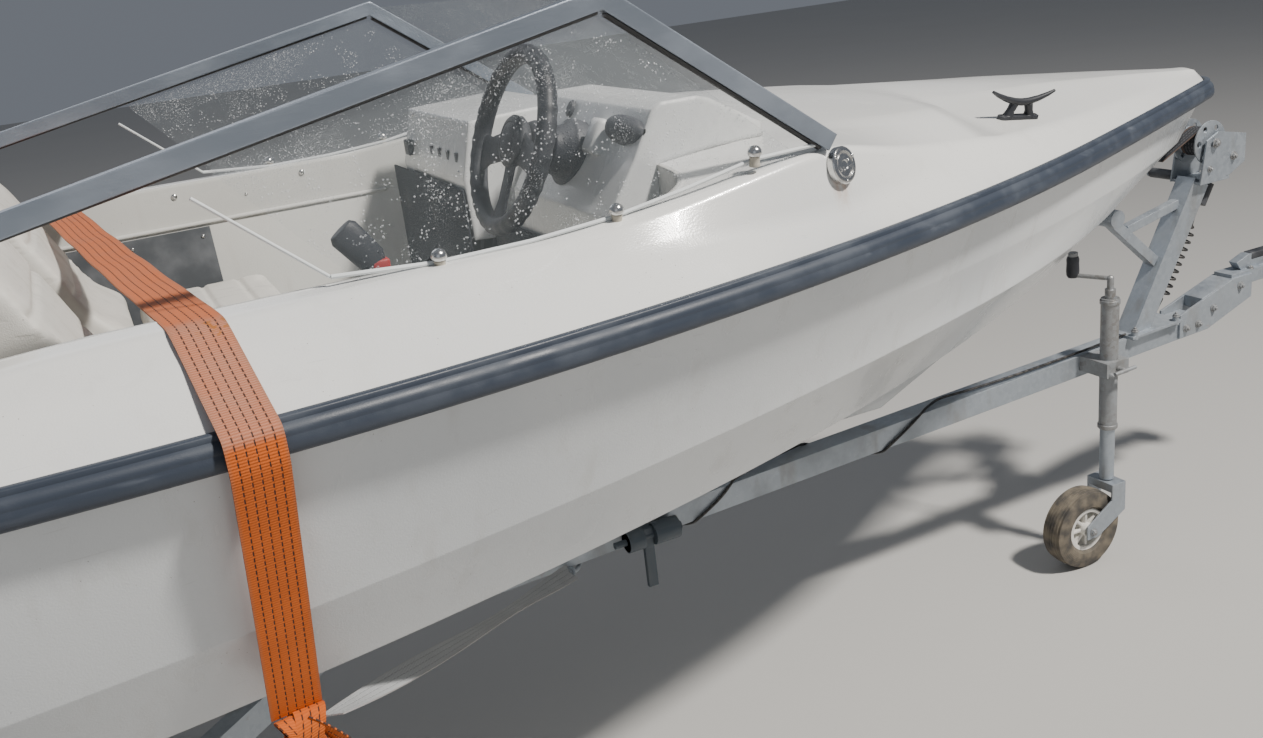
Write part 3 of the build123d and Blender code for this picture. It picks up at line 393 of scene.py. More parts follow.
@dataclass(frozen=True)
class Rubber(Finish):
    """Soft black or blue-grey rubber with dust and scuffs."""

    dust: Colour = (0.2, 0.2, 0.2)

    def paint(self, graph: Graph) -> None:
        """Matt rubber, dusty where dirt lies and paler where it was scuffed."""
        lying = graph.noise(13, 6).rise(0.4, 0.75)
        scuff = graph.noise(55, 3, (0.12, 1, 1)).rise(0.62, 0.8)
        tone = graph.mix(lying * 0.22, self.tone, self.dust)
        tone = graph.mix(scuff * 0.2, tone, (0.2, 0.22, 0.26))
        grain = graph.noise(700, 2) * 0.5 + scuff * 0.4
        graph.surface(
            base_color=tone,
            roughness=0.42 + lying * 0.25 + scuff * 0.12,
            normal=graph.bump(grain, 0.0004, self.under(graph)),
        )


@dataclass(frozen=True)
class Zinc(Finish):
    """Hot-dipped steel: spangle, dull patches, drips and a little rust."""

    rust: float = 0.25

    def paint(self, graph: Graph) -> None:
        """Zinc crystals of slightly different greys under grime and rust spots."""
        crystal = graph.node("RGBToBW", {}, {0: graph.cells(95, output="Color")})
        fine = graph.noise(240, 4)
        dull = graph.noise(6, 6).rise(0.4, 0.72)
        wet = graph.noise(17, 5, (1, 1, 0.35), 4.0).rise(0.52, 0.76)
        spot = graph.noise(34, 6, shift=9.0).rise(0.66, 0.78) * self.rust
        tone = graph.mix(crystal * 0.5 + fine * 0.25, self.tone, (0.5, 0.54, 0.58))
        tone = graph.mix(dull * 0.65, tone, (0.28, 0.3, 0.32))
        tone = graph.mix(wet * 0.5, tone, (0.2, 0.19, 0.17))
        tone = graph.mix(spot, tone, (0.3, 0.14, 0.06))
        metal = (0.72 - dull * 0.35 - wet * 0.2) * (1 - spot)
        relief = crystal * 0.3 + fine * 0.5 + spot
        graph.surface(
            base_color=tone,
            metallic=metal,
            roughness=0.42 + dull * 0.2 + crystal * 0.12 + spot * 0.3,
            normal=graph.bump(relief, 0.0005, self.under(graph)),
        )


@dataclass(frozen=True)
class Anodised(Finish):
    """Satin aluminium section with oxide clouds and dirt."""

    def paint(self, graph: Graph) -> None:
        """Drawn lines along the section under milky oxide and dark specks."""
        drawn = graph.noise(900, 2, (0.02, 1, 1))
        cloud = graph.noise(12, 6, (0.5, 1, 1)).rise(0.4, 0.75)
        dirt = graph.noise(130, 4, (0.6, 1, 1), 2.0).rise(0.64, 0.78)
        tone = graph.mix(cloud * 0.22, self.tone, (0.5, 0.55, 0.62))
        tone = graph.mix(dirt * 0.45, tone, (0.15, 0.15, 0.16))
        graph.surface(
            base_color=tone,
            metallic=0.8 - cloud * 0.12 - dirt * 0.3,
            roughness=0.32 + cloud * 0.08 + dirt * 0.2 + drawn * 0.1,
            normal=graph.bump(drawn + cloud * 0.5, 0.0002, self.under(graph)),
        )


@dataclass(frozen=True)
class WetGlass(Finish):
    """Clear acrylic pane with rain drops, haze and fine scratches."""

    def paint(self, graph: Graph) -> None:
        """Thin clear sheet: drops of two sizes stand on it, and a scatter of them carries painted highlights,
        near-white and more opaque.
        """
        patch = graph.noise(5, 3).rise(0.44, 0.66)
        large = graph.cells(140).rise(0.34, 0.12) * graph.noise(22, 2, shift=2.0).rise(0.48, 0.58)
        small = graph.cells(330).rise(0.4, 0.15) * patch
        drops = large.most(small)
        body = drops.rise(0.1, 0.75)
        haze = graph.noise(2.3, 4, shift=5.0).rise(0.35, 0.75)
        glance = graph.node("LayerWeight", {}, {"Blend": 0.2}, "Fresnel")
        # Painted highlights: where this noise is high, the drops are coloured near-white and made more
        # opaque, standing for their glints.
        painted_glint = graph.noise(900, 1, shift=8.0).rise(0.42, 0.56)
        tone = graph.mix(body * painted_glint, self.tone, (0.95, 0.97, 1.0))
        clear = 0.035 + haze * 0.035 + glance * 0.12 + body * (0.1 + painted_glint * 0.5)
        graph.surface(
            base_color=tone,
            roughness=0.05 + haze * 0.04,
            alpha=clear.least(0.9),
            normal=graph.bump(drops, 0.0014),
            ior=1.49,
        )


@dataclass(frozen=True)
class Vinyl(Finish):
    """Seat vinyl with grain, fold lines and grime in the hollows."""

    def paint(self, graph: Graph) -> None:
        """Embossed leather grain with long soft creases."""
        grain = graph.cells(520, (1, 1.3, 1))
        crease = graph.noise(38, 3, (0.4, 1, 1)).rise(0.58, 0.66)
        grime = graph.noise(9, 6, shift=1.0).rise(0.45, 0.8)
        specks = graph.specks(60, 0.09, 0.12)
        tone = graph.mix(grime * 0.5, self.tone, (0.4, 0.38, 0.34))
        tone = graph.mix(crease * 0.3, tone, (0.46, 0.44, 0.4))
        tone = graph.mix(specks * 0.6, tone, (0.16, 0.14, 0.12))
        relief = grain * 0.5 - crease * 0.6
        graph.surface(
            base_color=tone,
            roughness=0.42 + grime * 0.25,
            normal=graph.bump(relief, 0.0006, self.under(graph)),
        )


@dataclass(frozen=True)
class Webbing(Finish):
    """Polyester strap with ribs across it and sewn lines along it.

    The weave follows the strap's own attribute: x runs along it and y across, in metres.
    """

    worn: Colour = (0.5, 0.25, 0.17)
    thread: Colour = (0.05, 0.02, 0.012)
    width: float = 0.075
    lines: int = 5
    sunned: float = 0.0
    rib: float = 0.0042
    marks: Spot | None = None

    def paint(self, graph: Graph) -> None:
        """Ribs, threads, faded parts in the sun and rust marks."""
        lay = graph.node("Attribute", {"attribute_name": "lay"}, output="Vector")
        along = graph.node("SeparateXYZ", inputs={0: lay})
        across = graph.node("SeparateXYZ", inputs={0: lay}, output=1)
        pitch = self.width / (self.lines + 1)
        rows = ((across / pitch + 0.5 * (self.lines % 2)).math("FRACT") - 0.5) * pitch
        edge = abs(across).rise(self.width / 2 - pitch * 0.5, self.width / 2 - pitch * 0.62)
        near_thread = abs(rows).rise(0.0013, 0.0007) * edge
        dash = (along * (tau / (self.rib * 2.6))).sine().rise(-0.75, -0.35)
        thread = near_thread * dash
        ribs = (along * (tau / self.rib)).sine() * 0.5 + 0.5
        warp = (across * (tau / 0.0016)).sine() * 0.5 + 0.5
        fade = graph.z.rise(1.272, 1.288) * self.sunned
        over = graph.y.rise(-0.735, -0.69)
        fade = fade * (1 - over * 0.6)
        cloud = graph.noise(16, 5).rise(0.35, 0.75)
        tone = graph.mix(cloud * 0.35, self.tone, tuple(c * 0.72 for c in self.tone))
        tone = graph.mix(fade * (0.7 + cloud * 0.25), tone, self.worn)
        tone = graph.mix(ribs * (0.22 + fade * 0.3), tone, tuple(c * 0.45 for c in self.tone))
        if self.marks:
            rust = graph.near(Vector(self.marks)).rise(0.036, 0.012) * graph.noise(70, 4).rise(0.5, 0.6)
            tone = graph.mix(rust, tone, (0.4, 0.13, 0.02))
        tone = graph.mix(thread, tone, self.thread)
        soiled = abs(across).rise(self.width * 0.42, self.width * 0.5)
        tone = graph.mix(soiled * 0.35, tone, (0.24, 0.14, 0.09))
        relief = ribs * 0.7 + warp * 0.3 - near_thread * 0.7
        graph.surface(base_color=tone, roughness=0.78 - fade * 0.12, normal=graph.bump(relief, 0.0007))


@dataclass(frozen=True)
class TyreRubber(Finish):
    """Weathered tyre rubber: dusty sides and rings about its axle."""

    hub: Spot = (0, 0, 0)
    mud: Colour = (0.25, 0.2, 0.15)
    ring: float = 0.007

    def paint(self, graph: Graph) -> None:
        """Dust in the grooves, fine rings on the walls and cracks."""
        spread = graph.node("CombineXYZ", inputs={0: graph.x - self.hub[0], 2: graph.z - self.hub[2]})
        radius = graph.node("VectorMath", {"operation": "LENGTH"}, {0: spread}, "Value")
        rings = (radius * (tau / self.ring)).sine() * 0.5 + 0.5
        dust = graph.noise(24, 6).rise(0.32, 0.7)
        cracks = graph.cells(160, (1, 1, 1)).rise(0.12, 0.02)
        tone = graph.mix(dust * 0.6, self.tone, self.mud)
        tone = graph.mix(cracks * 0.3, tone, (0.02, 0.02, 0.02))
        relief = rings * 0.35 + graph.noise(500, 2) * 0.4 - cracks * 0.3
        graph.surface(base_color=tone, roughness=0.72 + dust * 0.15, normal=graph.bump(relief, 0.0006))


@dataclass(frozen=True)
class PaintedMetal(Finish):
    """Sprayed paint on metal, chipped and rusty at its edges."""

    gloss: float = 0.3
    chip: Colour = (0.3, 0.16, 0.08)
    flake: float = 0.0

    def paint(self, graph: Graph) -> None:
        """Paint with fine flake, road dust and chips."""
        dust = graph.noise(8, 6).rise(0.42, 0.78)
        chips = graph.noise(85, 5, shift=3.0).rise(0.7, 0.745)
        flake = graph.node("RGBToBW", {}, {0: graph.cells(900, output="Color")})
        tone = graph.mix(flake * self.flake, self.tone, (0.6, 0.62, 0.66))
        tone = graph.mix(dust * 0.16, tone, (0.34, 0.32, 0.29))
        tone = graph.mix(chips * 0.85, tone, self.chip)
        relief = graph.noise(380, 1) * 0.2 - chips
        graph.surface(
            base_color=tone,
            metallic=flake * self.flake,
            roughness=self.gloss + dust * 0.28 + chips * 0.3,
            coat_weight=0.4 - dust * 0.3,
            normal=graph.bump(relief, 0.0003, self.under(graph)),
        )


@dataclass(frozen=True)
class Moulded(Finish):
    """Black or grey moulded plastic with a fine grain, sun-bleached on top."""

    bleach: float = 0.3
    wet: float = 0.0

    def paint(self, graph: Graph) -> None:
        """Grained plastic, paler in patches, with drops where it is wet."""
        faded = graph.noise(11, 5).rise(0.4, 0.75) * self.bleach
        grain = graph.cells(620)
        drops = graph.cells(150).rise(0.36, 0.1) * graph.noise(18, 2).rise(0.44, 0.56) * self.wet
        tone = graph.mix(faded, self.tone, (0.3, 0.31, 0.33))
        graph.surface(
            base_color=tone,
            roughness=0.5 + faded * 0.3 - drops * 0.4,
            normal=graph.bump(grain * 0.2 + drops * 1.5, 0.0006, self.under(graph)),
        )


@dataclass(frozen=True)
class Stainless(Finish):
    """Polished steel fitting with tarnish."""

    tea: float = 0.3

    def paint(self, graph: Graph) -> None:
        """Mirror metal, brown in its corners and softly scratched."""
        tarnish = graph.noise(130, 5).rise(0.5, 0.75) * self.tea
        scratch = graph.noise(800, 2, (0.1, 1, 1))
        tone = graph.mix(tarnish, self.tone, (0.28, 0.18, 0.1))
        graph.surface(
            base_color=tone,
            metallic=1 - tarnish * 0.6,
            roughness=0.16 + tarnish * 0.4 + scratch * 0.08,
            normal=graph.bump(scratch, 0.0001, self.under(graph)),
        )


@dataclass(frozen=True)
class Carpet(Finish):
    """Marine carpet, or the speckled dark board that stands as painted shade in the knee well."""

    pile: float = 480
    fleck: Colour = (0.3, 0.3, 0.3)

    def paint(self, graph: Graph) -> None:
        """Short pile with pale flecks and worn patches."""
        tuft = graph.cells(self.pile)
        fleck = graph.noise(self.pile * 0.6, 3, shift=7.0).rise(0.58, 0.66)
        worn = graph.noise(7, 5).rise(0.45, 0.75)
        tone = graph.mix(fleck * 0.5, self.tone, self.fleck)
        tone = graph.mix(worn * 0.3, tone, (0.28, 0.26, 0.23))
        graph.surface(base_color=tone, roughness=0.92, normal=graph.bump(tuft + fleck * 0.5, 0.0016))


@dataclass(frozen=True)
class Lens(Finish):
    """Ribbed lamp lens."""

    def paint(self, graph: Graph) -> None:
        """Coloured plastic with prisms behind it and a film of dust."""
        prism = (graph.y * (tau / 0.006)).sine() * 0.5 + 0.5
        cross = (graph.z * (tau / 0.006)).sine() * 0.5 + 0.5
        dust = graph.noise(30, 5).rise(0.4, 0.75)
        tone = graph.mix(prism * cross * 0.5, self.tone, tuple(min(1.0, c * 1.9 + 0.05) for c in self.tone))
        tone = graph.mix(dust * 0.25, tone, (0.4, 0.37, 0.33))
        graph.surface(
            base_color=tone,
            roughness=0.1 + dust * 0.3,
            coat_weight=0.6 - dust * 0.3,
            normal=graph.bump(prism + cross, 0.0006),
        )


@dataclass(frozen=True)
class Flex(Finish):
    """Smooth cable sheath."""

    def paint(self, graph: Graph) -> None:
        """Black sheath, dusty and slightly shiny."""
        dust = graph.noise(70, 5).rise(0.42, 0.75)
        tone = graph.mix(dust * 0.35, self.tone, (0.24, 0.22, 0.2))
        graph.surface(
            base_color=tone,
            roughness=0.32 + dust * 0.35,
            normal=graph.bump(graph.noise(600, 2), 0.0002),
        )


@dataclass(frozen=True)
class Pavement(Finish):
    """The pale studio floor."""

    def paint(self, graph: Graph) -> None:
        """Even matt floor with the faintest cloud."""
        cloud = graph.noise(0.8, 3).rise(0.3, 0.8)
        tone = graph.mix(cloud * 0.12, self.tone, tuple(c * 0.86 for c in self.tone))
        graph.surface(base_color=tone, roughness=0.8 + cloud * 0.05)


# Mesh work


class Shape:
    """Mesh work gathered into one piece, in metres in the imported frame."""

    def __init__(self) -> None:
        self.mesh = bmesh.new()
        self.lay = self.mesh.verts.layers.float_vector.new("lay")

    def skin(
        self, rings: Sequence[Sequence[Vector]], closed: bool = True, capped: bool = True
    ) -> "Shape":
        """Joins rings of equal length with quads.

        Args:
            rings: The rings in order.
            closed: Whether each ring joins its own ends.
            capped: Whether the first and last ring are filled.

        Returns:
            This shape.
        """
        rows = [[self.mesh.verts.new(point) for point in ring] for ring in rings]
        count = len(rows[0])
        for near, far in zip(rows, rows[1:]):
            for i in range(count if closed else count - 1):
                j = (i + 1) % count
                self.mesh.faces.new((near[i], near[j], far[j], far[i]))
        if capped:
            self.mesh.faces.new(rows[0][::-1])
            self.mesh.faces.new(rows[-1])
        return self

    def turned(
        self,
        profile: Outline,
        centre: Vector,
        axis: Spot,
        steps: int = 32,
        hollow: bool = False,
    ) -> "Shape":
        """Turns a profile about an axis.

        Args:
            profile: Radius and place along the axis of each point, in millimetres.
            centre: Where the axis starts.
            axis: Its direction.
            steps: Faces round the axis.
            hollow: Whether the profile is a closed loop off the axis.

        Returns:
            This shape.
        """
        turn = axis_frame(Vector(axis))
        rings = []
        for radius, along in profile:
            round_ = [tau * i / steps for i in range(steps)]
            ring = [Vector((radius * cos(a), radius * sin(a), along)) / 1000 for a in round_]
            rings.append([centre + turn @ point for point in ring])
        if hollow:
            rings.append(rings[0])
        return self.skin(rings, capped=not hollow)

    def tube(
        self,
        path: Sequence[Vector],
        radius: float | Sequence[float],
        sides: int = 12,
        squash: float = 1.0,
    ) -> "Shape":
        """Sweeps a round section along a path.

        Args:
            path: The points of the path.
            radius: The section's radius in millimetres, or one for each point.
            sides: Faces round the section.
            squash: Its height as a share of its width.

        Returns:
            This shape.
        """
        sizes = [radius] * len(path) if isinstance(radius, (int, float)) else radius
        up = Vector((0, 0, 1))
        if abs((path[1] - path[0]).normalized().z) > 0.9:
            up = Vector((0, 1, 0))
        rings = []
        for i, point in enumerate(path):
            run = run_at(path, i)
            across = run.cross(up).normalized()
            up = across.cross(run).normalized()
            size = sizes[i] / 1000
            angles = [tau * k / sides for k in range(sides)]
            rings.append([point + across * size * cos(a) + up * size * squash * sin(a) for a in angles])
        return self.skin(rings)

    def ribbon(
        self,
        path: Sequence[Vector],
        across: Sequence[Vector],
        width: float,
        thick: float,
        parts: int = 8,
    ) -> "Shape":
        """A flat strap along a path.

        Args:
            path: The middle line of its underside.
            across: The direction across it at each point.
            width: Its width in millimetres.
            thick: Its thickness in millimetres.
            parts: Faces across it.

        Returns:
            This shape, with the strap's own coordinates stored.
        """
        rings, lays, length = [], [], 0.0
        for i, point in enumerate(path):
            run = run_at(path, i)
            length += (point - path[i - 1]).length if i else 0.0
            side = across[i].normalized()
            out = side.cross(run).normalized() * thick / 1000
            steps = between(-width / 2000, width / 2000, parts + 1)
            rings.append([point + side * s + out for s in steps] + [point + side * s for s in steps[::-1]])
            lays.append([(length, s, 0.0) for s in steps + steps[::-1]])
        first = len(self.mesh.verts)
        self.skin(rings)
        self.mesh.verts.ensure_lookup_table()
        for vert, lay in zip(self.mesh.verts[first:], [lay for ring in lays for lay in ring]):
            vert[self.lay] = lay
        return self

    def block(
        self,
        low: Vector,
        high: Vector,
        edge: float = 0.0,
        turn: Matrix | None = None,
        about: Vector | None = None,
    ) -> "Shape":
        """A box between two corners with rounded edges.

        Args:
            low: Its lowest corner.
            high: Its highest corner.
            edge: The edges' radius in millimetres.
            turn: A rotation about its middle.
            about: Another middle for it.

        Returns:
            This shape.
        """
        middle, size = (low + high) / 2, high - low
        made = bmesh.ops.create_cube(self.mesh, size=1.0)["verts"]
        for vert in made:
            vert.co = Vector([vert.co[i] * size[i] for i in range(3)])
        if edge:
            edges = list({e for vert in made for e in vert.link_edges})
            result = bmesh.ops.bevel(
                self.mesh, geom=edges, offset=edge / 1000, segments=3, profile=0.5, affect="EDGES"
            )
            made = list({v for face in result["faces"] for v in face.verts} | {v for v in made if v.is_valid})
        for vert in made:
            vert.co = (turn @ vert.co if turn else vert.co) + (about or middle)
        return self

    def slab(self, outline: Sequence[Vector], depth: Vector, edge: float = 0.0) -> "Shape":
        """A plate from its outline and its depth, with bevelled edges where asked."""
        before = set(self.mesh.faces)
        self.skin([list(outline), [point + depth for point in outline]])
        if edge:
            faces = set(self.mesh.faces) - before
            edges = list({e for face in faces for e in face.edges})
            bmesh.ops.bevel(
                self.mesh, geom=edges, offset=edge / 1000, segments=2, profile=0.5, affect="EDGES"
            )
        return self

    def bolt(self, seat: Vector, axis: Spot, size: float = 8.0, stud: float = 4.0) -> "Shape":
        """A washer, a six-sided nut and the end of its bolt.

        Args:
            seat: The place on the surface.
            axis: The way it faces.
            size: Half the nut's width in millimetres.
            stud: How far the bolt's end stands out of the nut.

        Returns:
            This shape.
        """
        self.turned([(size * 1.35, 0), (size * 1.35, 1.4), (size * 0.5, 1.6)], seat, axis, 20)
        self.turned([(size, 1.2), (size, size * 0.8), (size * 0.86, size * 0.95)], seat, axis, 6)
        end = size * 0.95 + stud
        self.turned([(size * 0.5, size * 0.9), (size * 0.5, end - 1), (size * 0.38, end)], seat, axis, 12)
        return self

    def screw(self, seat: Vector, axis: Spot, size: float = 5.0) -> "Shape":
        """A domed screw head with its slot ring."""
        dome = [(size, 0), (size * 0.96, size * 0.22), (size * 0.7, size * 0.5), (size * 0.34, size * 0.6)]
        self.turned([*dome, (size * 0.3, size * 0.45), (size * 0.05, size * 0.42)], seat, axis, 16)
        return self

    def build(
        self,
        name: str,
        body: Body,
        slot: str,
        finish: Finish,
        sharp: float = 35.0,
        subdivide: int = 0,
    ) -> bpy.types.Object:
        """Turns the work into a piece of the scene.

        Args:
            name: The piece's name.
            body: The body that it rides on.
            slot: The record's material slot; not used.
            finish: Its finish.
            sharp: Edges steeper than this many degrees stay sharp.
            subdivide: Levels of subdivision.

        Returns:
            The piece.
        """
        bmesh.ops.remove_doubles(self.mesh, verts=self.mesh.verts, dist=2e-6)
        bmesh.ops.recalc_face_normals(self.mesh, faces=self.mesh.faces)
        data = bpy.data.meshes.new(name)
        self.mesh.to_mesh(data)
        self.mesh.free()
        data.shade_smooth()
        data.set_sharp_from_angle(angle=radians(sharp))
        piece = bpy.data.objects.new(name, data)
        bpy.context.scene.collection.objects.link(piece)
        data.materials.append(material_of(finish))
        if subdivide:
            rounding = piece.modifiers.new("rounding", "SUBSURF")
            rounding.levels = rounding.render_levels = subdivide
        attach(piece, body.value)
        log.info("%s: %d vertices", name, len(data.vertices))
        return piece


def settled(piece: bpy.types.Object) -> None:
    """Writes a piece's modifiers into its mesh."""
    graph = bpy.context.evaluated_depsgraph_get()
    data = bpy.data.meshes.new_from_object(piece.evaluated_get(graph))
    piece.modifiers.clear()
    piece.data = data


def cut(piece: bpy.types.Object, cutter: Shape) -> None:
    """Takes a cutter's volume out of a piece."""
    bmesh.ops.recalc_face_normals(cutter.mesh, faces=cutter.mesh.faces)
    data = bpy.data.meshes.new("cutter")
    cutter.mesh.to_mesh(data)
    cutter.mesh.free()
    tool = bpy.data.objects.new("cutter", data)
    bpy.context.scene.collection.objects.link(tool)
    work = piece.modifiers.new("opening", "BOOLEAN")
    work.object, work.operation, work.solver = tool, "DIFFERENCE", "EXACT"
    settled(piece)
    bpy.data.objects.remove(tool)
    bpy.data.meshes.remove(data)


@dataclass
class Assembly:
    """A group of pieces on the loaded frame."""

    frame: dict[str, Any]

    def dress(self, finish: Finish, *names: str) -> None:
        """Gives CAD nodes a finish."""
        for name in names:
            for holder in self.frame["nodes"][name].material_slots:
                holder.material = material_of(finish)

    def make(self) -> None:
        """Builds and dresses the assembly."""
        raise NotImplementedError


# Finishes in use

CAP_AT = (2885, -691, 1411)
WHITE = Gelcoat("deck gelcoat", (0.77, 0.77, 0.75), stain=tuple(at(*CAP_AT)))
# The hull's gelcoat is painted shade: a greyer, bluer copy of the deck's white gelcoat, with a darker chalk
# colour to match.
TOPSIDES_IN_PAINTED_SHADE = Gelcoat("hull gelcoat in painted shade", (0.7, 0.72, 0.73), edge=0.006, shade=(0.52, 0.55, 0.58), grime=0.6)
LINING = Gelcoat("liner gelcoat", (0.66, 0.66, 0.63), edge=0.012, shade=(0.52, 0.51, 0.47), grime=0.8)
DASH = Gelcoat("dash gelcoat", (0.76, 0.77, 0.76), edge=0.014, grime=0.3)
FENDER = Rubber("fender rubber", (0.035, 0.045, 0.065), dust=(0.13, 0.15, 0.18))
SEAL = Rubber("seal rubber", (0.02, 0.02, 0.022), dust=(0.1, 0.1, 0.1))
ROLLER = Rubber("roller rubber", (0.07, 0.09, 0.11), edge=0.003, dust=(0.25, 0.24, 0.22))
FRAMES = Anodised("anodised frame", (0.3, 0.34, 0.4), edge=0.004)
PANES = WetGlass("wet pane", (0.42, 0.47, 0.5))
PADS = Vinyl("seat vinyl", (0.72, 0.7, 0.65))
ORANGE = Webbing("orange webbing", (0.66, 0.13, 0.008), sunned=1.0, marks=tuple(at(1850, -735, 1385)))
GREY = Webbing("grey webbing", (0.42, 0.43, 0.44), thread=(0.3, 0.31, 0.32), width=0.045, lines=3)
DARK = Webbing("winch webbing", (0.03, 0.032, 0.038), thread=(0.14, 0.14, 0.15), width=0.04, lines=3)
ZINC = Zinc("galvanised steel", (0.34, 0.38, 0.43), edge=0.002)
DARK_ZINC = Zinc("weathered zinc", (0.22, 0.2, 0.18), edge=0.002, rust=0.6)
BRIGHT = Stainless("stainless steel", (0.72, 0.72, 0.71), edge=0.001)
BLACK = Moulded("black plastic", (0.022, 0.024, 0.03), edge=0.002)
WET_BLACK = Moulded("wet black plastic", (0.03, 0.033, 0.042), edge=0.004, wet=1.0)
RED = Moulded("red plastic", (0.5, 0.02, 0.02), edge=0.001)
IVORY = Moulded("ivory plastic", (0.5, 0.46, 0.38), edge=0.001, bleach=0.1)
EDGES = Moulded("cut pane edge", (0.72, 0.75, 0.76), bleach=0.2)
# Dark speckled board of painted shade: it darkens the open knee well under the dash, which lies in shadow.
KNEE_WELL_SHADE = Carpet("knee board", (0.03, 0.034, 0.042), fleck=(0.16, 0.18, 0.2))
GUARD = Moulded("mudguard plastic", (0.03, 0.03, 0.032), edge=0.002, bleach=0.25)
BOARD = Moulded("dark board", (0.055, 0.062, 0.07), edge=0.002)
FOAM = Carpet("bunk carpet", (0.05, 0.052, 0.055))
COWL = PaintedMetal(
    "engine paint", (0.02, 0.024, 0.032), edge=0.003, gloss=0.16, chip=(0.3, 0.3, 0.3), flake=0.1
)
CASTING = PaintedMetal("casting paint", (0.035, 0.04, 0.05), edge=0.004, gloss=0.3, chip=(0.45, 0.45, 0.45))
BLADE = PaintedMetal("blade paint", (0.05, 0.05, 0.055), gloss=0.3, chip=(0.5, 0.5, 0.5))
SILVER = PaintedMetal("wheel paint", (0.5, 0.51, 0.52), edge=0.002, gloss=0.35)
CHALK = PaintedMetal("spoked rim paint", (0.72, 0.7, 0.65), gloss=0.45, chip=(0.35, 0.3, 0.24))
SHEATH = Flex("cable sheath", (0.015, 0.015, 0.016))
RED_LENS = Lens("red lens", (0.45, 0.01, 0.008))
AMBER_LENS = Lens("amber lens", (0.75, 0.24, 0.02))
PLATE = PaintedMetal("bare plate", (0.74, 0.74, 0.72), gloss=0.35, chip=(0.5, 0.5, 0.5))
FLOOR = Pavement("studio floor", (0.5, 0.49, 0.47))


@dataclass
class Studio:
    """Floor, soft lights and the camera."""

    lens: float = 34.01
    place: Spot = (-0.52956, -2.34299, 1.78556)
    heading: float = 24.0404
    dip: float = 19.1561
    roll: float = 6.7605
    reach: float = 24.0
    floor_z: float = -0.0012

    def camera(self) -> None:
        """The photograph's viewpoint."""
        heading, dip, roll = radians(self.heading), radians(self.dip), radians(self.roll)
        ahead = Vector((sin(heading) * cos(dip), cos(heading) * cos(dip), -sin(dip)))
        level = Vector((cos(heading), -sin(heading), 0))
        above = level.cross(ahead)
        right = level * cos(roll) - above * sin(roll)
        up = above * cos(roll) + level * sin(roll)
        data = bpy.data.cameras.new("camera")
        data.lens, data.sensor_width, data.clip_start, data.clip_end = self.lens, 36, 0.05, 200
        camera = bpy.data.objects.new("camera", data)
        turn = Matrix((right, up, -ahead)).transposed().to_4x4()
        camera.matrix_world = Matrix.Translation(self.place) @ turn
        bpy.context.scene.collection.objects.link(camera)
        bpy.context.scene.camera = camera

    def light(self, name: str, spot: Spot, aim: Spot, size: float, power: float, tone: Colour) -> None:
        """Adds a soft square light.

        Args:
            name: The light's name.
            spot: Where it hangs.
            aim: What it points at.
            size: Its side in metres.
            power: Its power in watts.
            tone: Its colour.
        """
        data = bpy.data.lights.new(name, "AREA")
        data.shape, data.size, data.energy, data.color = "SQUARE", size, power, tone
        lamp = bpy.data.objects.new(name, data)
        lamp.location = spot
        lamp.rotation_euler = (Vector(aim) - Vector(spot)).to_track_quat("-Z", "Y").to_euler()
        bpy.context.scene.collection.objects.link(lamp)

    def make(self) -> None:
        """Builds the floor, the sky and the lights."""
        data = bpy.data.meshes.new("floor")
        corners = [(x * self.reach, y * self.reach) for x, y in ((-1, -1), (1, -1), (1, 1), (-1, 1))]
        data.from_pydata([(x, y, self.floor_z) for x, y in corners], [], [(0, 1, 2, 3)])
        floor = bpy.data.objects.new("floor", data)
        data.materials.append(material_of(FLOOR))
        bpy.context.scene.collection.objects.link(floor)
        world = bpy.data.worlds.new("studio")
        world.use_nodes = True
        sky = world.node_tree.nodes["Background"]
        sky.inputs[0].default_value = (0.8, 0.87, 1.0, 1)
        sky.inputs[1].default_value = 0.19
        bpy.context.scene.world = world
        self.light("key", (3.6, -4.4, 7.8), (0, 0, 0.9), 0.7, 1200, (1.0, 0.96, 0.9))
        self.light("fill", (-3.5, -7.0, 3.0), (0, 0, 0.8), 5.0, 25, (0.9, 0.95, 1.0))
        self.light("back", (-1.0, 6.5, 4.5), (0, 0, 0.9), 4.0, 60, (0.95, 0.97, 1.0))
        log.info("studio: floor, three lights")


